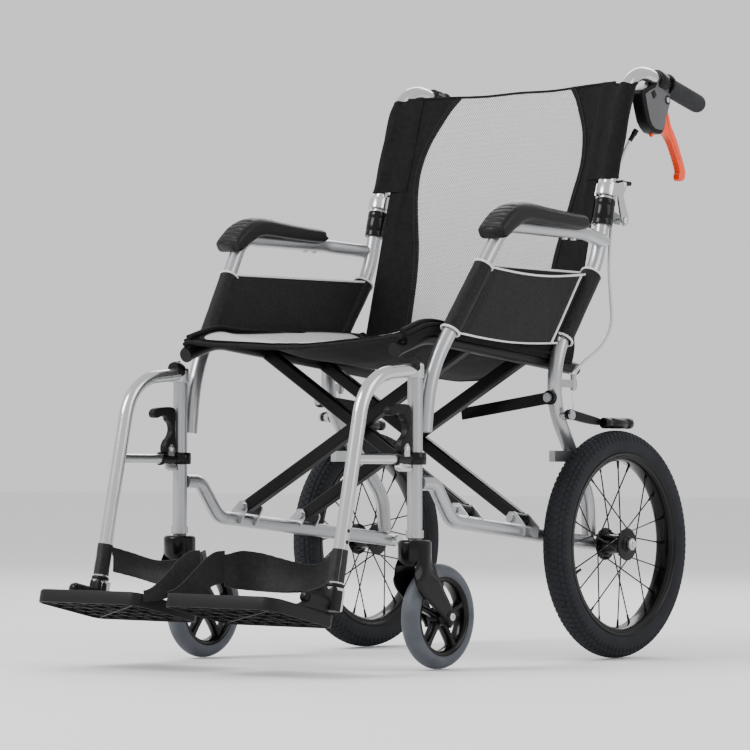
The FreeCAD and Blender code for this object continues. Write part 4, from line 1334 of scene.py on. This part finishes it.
pair("block_tyre", tread_tyre(), "tyre_rubber", "rear_wheel", ["rear_tyre"], 25)
rim_profile = [
    (-17, 141), (-18, 140.4), (-18, 138.4), (-17, 136.8), (-15.5, 135.6), (-15.0, 131.5),
    (-12, 129), (-7, 127.9), (-3, 127.3), (3, 127.3), (7, 127.9), (12, 129), (15.0, 131.5),
    (15.5, 135.6), (17, 136.8), (18, 138.4), (18, 140.4), (17, 141), (12, 138.2), (-12, 138.2),
]
rim = lathe([(a * MM, r * MM) for a, r in rim_profile], AXLE, (1, 0, 0), 144)
pair("wheel_rim", rim, "rim_black", "rear_wheel", ["rear_rim"])
spokes, nipples = [], []
for index in range(20):
    side = 1 if index % 2 else -1
    swing = math.radians(24) * (1 if index % 4 < 2 else -1)
    rim_angle = index * math.pi / 10
    hub_angle = rim_angle + swing * 1.9
    foot = AXLE + Vector((side * 20.0, 22.4 * math.cos(hub_angle), 22.4 * math.sin(hub_angle))) * MM
    tip = AXLE + Vector((side * 3.0, 128.5 * math.cos(rim_angle), 128.5 * math.sin(rim_angle))) * MM
    run = (tip - foot).normalized()
    elbow = foot - Vector((side * 0.0026, 0, 0))
    spokes.append(
        sweep(
            [elbow, foot, foot.lerp(tip, 0.02), foot.lerp(tip, 0.5), tip], circle_section(0.0011, 8)
        )
    )
    spokes.append(dome(elbow - Vector((side * 0.0004, 0, 0)), (-side, 0, 0), 0.0021, 0.0012))
    nipples.append(
        turned(
            [
                (-0.013, 0.0001), (-0.013, 0.0015), (-0.004, 0.0021), (0.001, 0.0024),
                (0.001, 0.0001)
            ],
            tip, run, 10
        )
    )
pair("wheel_spokes", merged(*spokes), "spoke_black", "rear_wheel", ["rear_spokes"])
pair("spoke_nipples", merged(*nipples), "spoke_black", "rear_wheel")
hub_profile = [
    (-25.5, 6.3), (-25.5, 10.0), (-24.6, 11.6), (-22.4, 13.6), (-21.9, 24.2), (-21.2, 25.0),
    (-19.4, 25.0), (-18.7, 24.2), (-17.9, 17.0), (-14, 15.2), (0, 14.6), (14, 15.2), (17.9, 17.0),
    (18.7, 24.2), (19.4, 25.0), (21.2, 25.0), (21.9, 24.2), (22.4, 13.6), (24.6, 11.6),
    (25.5, 10.0), (25.5, 6.3),
]
hub = lathe([(a * MM, r * MM) for a, r in hub_profile], AXLE, (1, 0, 0), 48)
pair("wheel_hub", hub, "hub_black", "rear_wheel", ["rear_hub"])
hub_face = AXLE + Vector((0.0255, 0, 0))
dust_cap = lathe(
    [
        (0, 0.0064), (0.0002, 0.0098), (0.0016, 0.0102), (0.0022, 0.0094), (0.0018, 0.0072),
        (0.0022, 0.0064)
    ],
    hub_face, (1, 0, 0), 40
)
pair("hub_dust_cap", dust_cap, "hub_black", "rear_wheel")
hex_nut = turned(
    [(-0.001, 0.0001), (-0.001, 0.0076), (0.0048, 0.0076), (0.0055, 0.0066), (0.0055, 0.0001)],
    AXLE + Vector((0.0275, 0, 0)), (1, 0, 0), 6
)
axle_tip = turned([(0, 0.0001), (0, 0.0052), (0.0022, 0.0052), (0.003, 0.0044), (0.003, 0.0001)],
                  AXLE + Vector((0.0325, 0, 0)), (1, 0, 0), 24)
pair("axle_hex_nut", merged(hex_nut, axle_tip), "axle_steel", "frame")
valve_angle = math.radians(200)
valve_way = Vector((0.0, math.cos(valve_angle), math.sin(valve_angle)))
valve = turned(
    [(0, 0.0001), (0, 0.0021), (0.012, 0.0024), (0.0125, 0.0032), (0.02, 0.0033), (0.0205, 0.0001)],
    AXLE + Vector((0.006, 0, 0)) + valve_way * 0.1085, valve_way, 14
)
pair("tyre_valve", valve, "bolt_black", "rear_wheel")

# ---------------------------------------------------------------- casters

POST = (228.0, -475.0)
CASTER = at(228, -420, 76)
tyre_profile = []
for k in range(29):
    turn = math.radians(-100 + 200 * k / 28)
    across, out = math.sin(turn), math.cos(turn)
    tread = out > 0
    tyre_profile.append((across * (15.2 if tread else 15.048), 61.5 + out * (14.5 if tread else 4)))
tyre_profile += [(12.4, 57.4), (-12.4, 57.4)]
caster_tyre = lathe([(a * MM, r * MM) for a, r in tyre_profile], CASTER, (1, 0, 0), 96)
pair("caster_tread", caster_tyre, "caster_rubber", "caster_wheel", ["caster_tyre"], 50)
ring_profile = [
    (-12.2, 57.6), (-13.0, 56.4), (-12.6, 54.6), (-10.8, 51.8), (-8.0, 50.0), (0, 49.4),
    (8.0, 50.0), (10.8, 51.8), (12.6, 54.6), (13.0, 56.4), (12.2, 57.6), (0, 57.9)
]
caster_ring = lathe([(a * MM, r * MM) for a, r in ring_profile], CASTER, (1, 0, 0), 80)
boss_profile = [
    (-17, 4.6), (-17, 8.6), (-16, 9.6), (-13, 10.4), (-11.5, 12.6), (0, 14.5), (11.5, 12.6),
    (13, 10.4), (16, 9.6), (17, 8.6), (17, 4.6)
]
caster_boss = lathe([(a * MM, r * MM) for a, r in boss_profile], CASTER, (1, 0, 0), 40)
arms = []
for turn in range(5):
    angle = math.radians(90 + 72 * turn)
    outward = Vector((0, math.cos(angle), math.sin(angle)))
    path = [CASTER + outward * (reach * MM) for reach in (10, 16, 24, 34, 44, 50, 53)]
    widths = (13.0, 11.5, 9.5, 8.5, 9.5, 12.5, 16.0)
    rows = []
    for point, width in zip(path, widths):
        side = outward.cross(Vector((1, 0, 0)))
        rows.append(
            [
                point + side * (a * MM) + Vector((b * MM, 0, 0))
                for a, b in rounded_section(width, 17.0, 3.0, 16)
            ]
        )
    arms.append(capped(rows))
pair(
    "caster_wheel_hub", merged(caster_ring, caster_boss, *arms), "hub_black", "caster_wheel",
    ["caster_hub"], 45
)


FORK_FRONT = [
    (60, -421), (64, -424), (72, -431), (90, -456), (112, -486), (128, -497), (148, -496),
    (160, -490), (187, -490)
]
FORK_BACK = [
    (60, -419), (66, -412), (76, -409.5), (92, -416), (112, -431), (132, -443), (150, -452),
    (160, -459), (187, -460)
]
CROWN_RADIUS = 24.2


def fork_blade(side):
    """One blade, lofted from the round crown down to the axle."""
    rows = []
    for k in range(49):
        height = 60 + (184 - 60) * k / 48
        front, back = through(FORK_FRONT, height), through(FORK_BACK, height)
        crown = ramp(height, 128, 158)
        outer_side, inner_side = [], []
        for step in range(15):
            u = step / 14
            station = front + (back - front) * u
            round_x = math.sqrt(max(4.0, CROWN_RADIUS ** 2 - (station - POST[1]) ** 2))
            flat_x = 24.0 - 2.4 * abs(2 * u - 1) ** 6
            reach = max(19.2, flat_x + (round_x - flat_x) * crown)
            outer_side.append(at(POST[0] + side * reach, station, height))
            inner_side.append(at(POST[0] + side * 18.6, station, height))
        rows.append(outer_side + inner_side[::-1])
    return capped(rows)


def fork_shell():
    """A round crown, two lofted blades and the bosses for the axle."""
    profile = [
        (0.0, 0.0001), (0.0, 0.0185), (0.004, 0.0215), (0.010, 0.0238), (0.030, 0.0242),
        (0.0335, 0.0238), (0.0358, 0.0224), (0.0369, 0.0196), (0.0372, 0.0001),
    ]
    pieces = [turned(profile, at(*POST, 150), (0, 0, 1), 56)]
    for side in (-1, 1):
        pieces.append(fork_blade(side))
        boss = [(0, 0.0001), (0, 0.0100), (0.0048, 0.0100), (0.0066, 0.0086), (0.0066, 0.0001)]
        pieces.append(turned(boss, at(POST[0] + side * 18.7, -420, 76), (side, 0, 0), 36))
    return merged(*pieces)


pair("fork_moulding", fork_shell(), "fork_black", "caster_fork", ["caster_fork"], 40)
fork_bolts = [
    bolt(at(POST[0] + side * 25.0, -420, 76), (side, 0, 0), 5.6 * MM, 3.0 * MM) for side in (-1, 1)
]
fork_bolts.append(
    turned(
        [(0, 0.0001), (0, 0.0098), (0.002, 0.0104), (0.0035, 0.0098), (0.0035, 0.0001)],
        at(*POST, 187.2), (0, 0, 1), 32
    )
)
pair("fork_bolts", merged(*fork_bolts), "axle_steel", "caster_fork")

# ---------------------------------------------------------------- hangers

elbow_line = [
    at(228, -475, 419.5), at(228, -475.2, 427), at(227.95, -477, 433), at(227.85, -482, 437.4),
    at(227.7, -488, 438.6), at(227.6, -492, 438.2),
]
elbow_path = curve_through(elbow_line, 30)
elbow = sweep(
    elbow_path, circle_section(0.0126, 32),
    scale=lambda t: 1.0 - 0.12 * ramp(t, 0.75, 1.0) - 0.06 * (1 - ramp(t, 0, 0.06))
)
elbow_screw = bolt(at(227.8, -480, 449.4), (0, -0.3, 1), 3.4 * MM, 2.0 * MM)
pair("hanger_elbow", merged(elbow, elbow_screw), "black_plastic", "hanger")
ring_band = lathe(
    [
        (0, 0.0113), (0, 0.0160), (0.0012, 0.0168), (0.0165, 0.0168), (0.0177, 0.0160),
        (0.0177, 0.0113)
    ],
    at(*POST, 295), (0, 0, 1), 40
)
socket_line = [
    at(228, -489, 303.6), at(227.9, -500, 303.6), at(227.7, -513, 303.6), at(227.6, -521, 303.6)
]
socket = sweep(socket_line, circle_section(0.0092, 24))
socket_lip = lathe(
    [(0, 0.0074), (0, 0.0100), (0.004, 0.0100), (0.004, 0.0074)], at(227.6, -517.4, 303.4),
    (0, -1, 0), 28
)
pair(
    "hanger_clamp", merged(ring_band, socket, socket_lip), gloss_black("clamp_black"), "hanger",
)
hook_side = [
    (-516, 297), (-514, 288.5), (-506, 285), (-494, 285), (-487, 287), (-488, 292), (-497, 291.5),
    (-504, 292.5), (-508, 297)
]
pair("clamp_hook", slab(hook_side, 228, 12, 1.6, 3), "axle_steel", "hanger")
latch_knots = [
    (-512, 311), (-514, 321), (-510, 330), (-503, 336.5), (-498.5, 346), (-500.5, 356),
    (-507, 361.5), (-509, 366), (-519, 368), (-531, 364.5), (-538, 366), (-540, 372.5),
    (-534, 378.5), (-518, 381), (-500, 381.5), (-491.5, 377), (-491, 366), (-492, 352),
    (-491.5, 338), (-490.5, 326), (-492, 313), (-500, 309.5),
]
latch_side = smooth_outline(latch_knots, 60)
latch = slab(latch_side, 228, 13.0, 2.6, 3)
pair("swing_latch", latch, "black_plastic", "hanger_latch", ["hanger_latch"], 50)
latch_pins = [dome(at(228 + side * 9, -503, 318), (side, 0, 0), 0.0042, 0.002) for side in (-1, 1)]
pair("latch_rivets", merged(*latch_pins), "axle_steel", "hanger")

# ---------------------------------------------------------------- heel straps

STRAP_PLAN = [
    (213, -640), (180, -617), (150, -606), (110, -602), (70, -611), (36, -632), (23, -655)
]


def strap_band(start, stop, lift, low_edge, high_edge, steps):
    """The strap between two shares of its plan line, lifted off it by a little."""
    plan = curve_through([at(x, s, 0) for x, s in STRAP_PLAN], 121)
    rows = []
    for k in range(steps):
        t = start + (stop - start) * k / (steps - 1)
        i = min(119, max(1, int(t * 120)))
        heading = (plan[i + 1] - plan[i - 1]).normalized()
        outward = heading.cross(Vector((0, 0, 1)))
        row = []
        for j in range(15):
            v = j / 14
            z = low_edge(t) + (high_edge(t) - low_edge(t)) * v
            bow = 3.0 * math.sin(math.pi * v)
            bow += 1.3 * math.sin(t * 17 + v * 2) * math.sin(math.pi * t)
            row.append(plan[i] + outward * ((lift + bow) * MM) + Vector((0, 0, z * MM)))
        rows.append(row)
    return thickened(rows, 1.5 * MM)


def strap_low(t):
    """The bottom edge hangs lowest midway."""
    return through([(0, 136), (0.3, 119), (0.55, 113), (0.8, 116), (1, 122)], t)


def strap_high(t):
    """The top edge dips midway and rises again where the two bands overlap."""
    return through([(0, 173), (0.3, 154), (0.5, 156), (0.75, 170), (1, 175)], t)


outer_strap = strap_band(0.0, 0.6, 0.0, strap_low, strap_high, 60)
hanger_axis = (at(226, -586, 420) - at(226, -653, 112)).normalized()
loop_rows = []
for k in range(14):
    centre = at(226, -653, 112) + hanger_axis * ((19 + 46 * k / 13) * MM)
    row = []
    for step in range(41):
        angle = 2 * math.pi * step / 40 * 0.985 + 0.6
        radius = (11.5 + 0.7 * noise.noise(Vector((step * 0.3, k * 0.2, 7)))) * MM
        fore = Vector((1, 0, 0)).cross(hanger_axis)
        row.append(
            centre + Vector((1, 0, 0)) * (radius * math.cos(angle))
            + fore * (radius * math.sin(angle))
        )
    loop_rows.append(row)
outer_loop = thickened(loop_rows, 1.5 * MM)
outer_pieces = pair(
    "heel_band_outer", merged(outer_strap, outer_loop), "strap_webbing", "hanger", ["heel_strap"],
    50
)
inner_strap = strap_band(
    0.42, 1.0, 2.4, lambda t: strap_low(t) - 2, lambda t: strap_high(t) - 1 - 8 * ramp(t, 0.8, 1.0),
    60
)
flap_rows = []
for k in range(20):
    t = k / 19
    station = -655 - 118 * t
    top = 171 - 52 * ramp(t, 0.1, 1) - 3 * t
    low = 125 - 25 * ramp(t, 0, 0.8)
    flap_rows.append(
        [
            at(23 - 0.6 * math.sin(t * 5 + j * 0.3), station, low + (top - low) * j / 12)
            for j in range(13)
        ]
    )
flap = thickened(flap_rows, 1.5 * MM)
inner_pieces = pair(
    "heel_band_inner", merged(inner_strap, flap), "strap_webbing", "footplate", ["heel_strap"], 50
)
for side, sign in SIDES.items():
    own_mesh(outer_pieces[side])

# ---------------------------------------------------------------- footplates

foot_turn = Matrix.Rotation(math.radians(-12.33), 4, "X")
foot_origin = at(0, -653, 112)


def foot_place(shape):
    """A shape drawn level about the hanger's foot, tipped up with it."""
    return [foot_origin + (foot_turn @ point) for point in shape[0]], shape[1]


PLATE_FRONT = -130.0


def plate_outline(inset):
    """The footplate's outline seen from above, with round corners, drawn in by an inset."""
    low_x, high_x, low_y, high_y = 25 + inset, 229 - inset, PLATE_FRONT + inset, 11 - inset
    radius, nose = 17 - inset, 25 - inset
    points = []
    for cx, cy, radius, begin in (
        (high_x - radius, high_y - radius, radius, 0),
        (low_x + radius, high_y - radius, radius, 90),
        (low_x + radius, low_y + radius, radius, 180),
        (high_x - nose, low_y + nose, nose, 270)
    ):
        for k in range(11):
            angle = math.radians(begin + 9 * k)
            points.append((cx + radius * math.cos(angle), cy + radius * math.sin(angle)))
    return points


edge_steps = [
    (2.0, -45.2), (0.4, -44.6), (0.0, -43.0), (0.0, -29.0), (0.5, -27.2), (2.0, -26.0),
    (5.5, -25.7), (6.4, -26.2), (7.6, -26.3), (8.6, -25.8)
]
skirt_rows = []
for inset, height in edge_steps:
    skirt_rows.append([Vector((x * MM, y * MM, height * MM)) for x, y in plate_outline(inset)])
inner_rows = []
for inset, height in [(3.0, -45.2), (3.4, -44.4), (3.6, -31.0)]:
    inner_rows.append([Vector((x * MM, y * MM, height * MM)) for x, y in plate_outline(inset)])
ring_count = len(skirt_rows[0])
wall = grid(skirt_rows, closed_u=True)
wall_faces = wall[1] + [tuple(range(len(wall[0]) - ring_count, len(wall[0])))]
under = grid(inner_rows, closed_u=True)
under_faces = under[1] + [tuple(range(len(under[0]) - 1, len(under[0]) - ring_count - 1, -1))]
lip = grid([inner_rows[0], skirt_rows[0]], closed_u=True)
shell = merged((wall[0], wall_faces), (under[0], under_faces), lip)
ribs = []


def foot_beam(x0, y0, x1, y1, low, high, thick=2.4):
    """A standing rib under the plate between two points."""
    start, end = Vector((x0 * MM, y0 * MM, 0)), Vector((x1 * MM, y1 * MM, 0))
    side = (end - start).normalized().cross(Vector((0, 0, 1))) * (thick / 2 * MM)
    rows = []
    for base in (start, end):
        foot, head = base + Vector((0, 0, low * MM)), base + Vector((0, 0, high * MM))
        rows.append([foot - side * 0.7, foot + side * 0.7, head + side, head - side])
    return capped(rows)


for k in range(1, 7):
    x = 25 + 204 * k / 7
    ribs.append(foot_beam(x, PLATE_FRONT + 4, x, 7, -43.5, -30.5))
for k in range(1, 5):
    y = PLATE_FRONT + (11 - PLATE_FRONT) * k / 5
    ribs.append(foot_beam(29, y, 225, y, -43.2, -30.5))
ribs.append(foot_beam(32, PLATE_FRONT + 7, 218, 4, -43.8, -30.5, 3.0))
ribs.append(foot_beam(32, 4, 218, PLATE_FRONT + 11, -43.8, -30.5, 3.0))
tread = []
for k in range(13):
    y = PLATE_FRONT + 14 + k * 9
    path = [Vector((x * MM, y * MM, -25.7 * MM)) for x in (44, 90, 150, 198)]
    tread.append(sweep(path, rounded_section(3.0 * MM, 1.5 * MM, 2.6, 10), up=Vector((0, 0, 1))))
boss_profile = [
    (0.0, 0.0052), (0.0, 0.0082), (0.0012, 0.0094), (0.0438, 0.0094), (0.045, 0.0082),
    (0.045, 0.0052)
]
boss = lathe(boss_profile, Vector((0.222, -0.055, -0.012)), (0, 1, 0), 36)
web_rows = []
for y, top, half in (
    (-72, -25.5, 4), (-62, -21.5, 6), (-52, -15.0, 7.2), (-34, -13.0, 7.6), (-12, -13.0, 7.6)
):
    web_rows.append(
        [
            Vector(((222 + a) * MM, y * MM, (b + (top - 28) / 2) * MM))
            for a, b in rounded_section(half * 2, top + 28, 5.0, 16)
        ]
    )
foot_shape = foot_place(merged(shell, *ribs, *tread, boss, capped(web_rows)))
pair("footplate_moulding", foot_shape, "footplate_plastic", "footplate", ["footplate"], 40)
clamp_section = rounded_section(23.5, 22.5, 4.0, 28)
clamp_rows = []
for height, factor in (
    (-22, 0.9), (-20.5, 0.98), (-16, 1.0), (-2, 1.0), (6, 0.99), (9.5, 0.95), (11, 0.88)
):
    clamp_rows.append(
        [
            Vector(((225.5 + a * factor) * MM, (-1.5 + -b * factor) * MM, height * MM))
            for a, b in clamp_section
        ]
    )
collar = lathe(
    [(0, 0.0097), (0, 0.0124), (0.001, 0.0129), (0.005, 0.0129), (0.006, 0.0122), (0.006, 0.0097)],
    Vector((0.226, 0, 0.0105)), (0, 0, 1), 32
)
pair("foot_clamp", foot_place(merged(capped(clamp_rows), collar)), "black_plastic", "hanger")
height_holes = []
for up in (76, 92):
    spot = at(226, -653, 112) + hanger_axis * (up * MM) + Vector((0.0098, 0, 0))
    height_holes.append(
        turned(
            [(0, 0.0001), (0, 0.003), (0.0009, 0.0028), (0.0011, 0.0018), (0.0004, 0.0001)], spot,
            (1, 0, 0), 18
        )
    )
pair("height_pin_holes", merged(*height_holes), "bolt_black", "hanger")
pin_caps = []
pin_caps.append(
    turned(
        [(0, 0.0001), (0, 0.0046), (0.0015, 0.0046), (0.0022, 0.0036), (0.0022, 0.0001)],
        Vector((0.222, 0.0156, -0.012)), (0, 1, 0), 6
    )
)
pin_caps.append(dome(Vector((0.222, -0.0586, -0.012)), (0, -1, 0), 0.0068, 0.0024))
pair(
    "footplate_pin_caps", foot_place(merged(*pin_caps)), "bolt_black", "footplate_pin",
)

# ---------------------------------------------------------------- brake arms

arm_side = smooth_outline(
    [
        (-125, 373), (-122, 379), (-114, 381), (-100, 378.5), (-70, 373.5), (-44, 369), (-33, 365),
        (-31, 360.5), (-38, 357.5), (-70, 359.5), (-104, 364), (-119, 366),
    ],
    40
)
arm_plate = slab(arm_side, 241.5, 5.6, 1.2, 2)
shoe_profile = [
    (0.0, 0.0048), (0.0, 0.0076), (0.0012, 0.0085), (0.0150, 0.0085), (0.0158, 0.0079),
    (0.0172, 0.0079), (0.0180, 0.0085), (0.0560, 0.0085), (0.0568, 0.0079), (0.0582, 0.0079),
    (0.0590, 0.0085), (0.0708, 0.0085), (0.0720, 0.0076), (0.0720, 0.0048),
]
shoe_skin = lathe(shoe_profile, at(247, -35, 361), (0, 1, 0), 40)
shoe_plugs = [
    turned(
        [(0, 0.0001), (0, 0.0049), (0.001, 0.0049), (0.001, 0.0001)], at(247, s, 361), (0, 1, 0), 24
    )
    for s in (-31, 32)
]
pair(
    "brake_arm_shape", merged(arm_plate, shoe_skin, *shoe_plugs), "brake_steel", "brake_arm",
    ["brake_arm"]
)

# ---------------------------------------------------------------- floor, light and camera

floor_shape = grid([[Vector((x, y, -0.001)) for x in (-30, 30)] for y in (-30, 30)])
floor_paint = Paint("floor_paint", (0.9, 0.9, 0.9), 0.85).material
floor = put("floor", floor_shape, floor_paint, None)

scene.world = bpy.data.worlds.new("studio")
scene.world.use_nodes = True
scene.world.node_tree.nodes["Background"].inputs["Color"].default_value = (1, 1, 1, 1)
scene.world.node_tree.nodes["Background"].inputs["Strength"].default_value = 0.95


def panel_light(name, place, aim, size, power):
    """A soft rectangular lamp that looks at a point."""
    data = bpy.data.lights.new(name, "AREA")
    data.shape = "RECTANGLE"
    data.size, data.size_y = size
    data.energy = power
    lamp = bpy.data.objects.new(name, data)
    lamp.location = place
    lamp.rotation_euler = (Vector(aim) - Vector(place)).to_track_quat("-Z", "Y").to_euler()
    scene.collection.objects.link(lamp)


panel_light("key_light", (-1.4, -3.2, 3.0), (0, 0, 0.4), (2.0, 2.0), 170)
panel_light("fill_light", (3.6, 0.6, 2.2), (0, 0, 0.5), (2.0, 3.0), 55)
panel_light("back_light", (-1.2, 3.0, 2.6), (0, 0, 0.6), (3.0, 1.6), 60)

EYE = Vector((3.21044, AXLE.y - 4.23172, 0.28292))
TARGET = Vector((0, AXLE.y - 0.2863, 0.4321))
ROLL = math.radians(0.23)
forward = (TARGET - EYE).normalized()
level = forward.cross(Vector((0, 0, 1))).normalized()
plumb = level.cross(forward)
right = level * math.cos(ROLL) + plumb * math.sin(ROLL)
above = plumb * math.cos(ROLL) - level * math.sin(ROLL)
camera = bpy.data.objects.new("camera", bpy.data.cameras.new("camera"))
camera.data.lens = 160.4
camera.data.sensor_width = 36
camera.matrix_world = Matrix((
    (right.x, above.x, -forward.x, EYE.x),
    (right.y, above.y, -forward.y, EYE.y),
    (right.z, above.z, -forward.z, EYE.z),
    (0, 0, 0, 1),
))
scene.collection.objects.link(camera)
scene.camera = camera
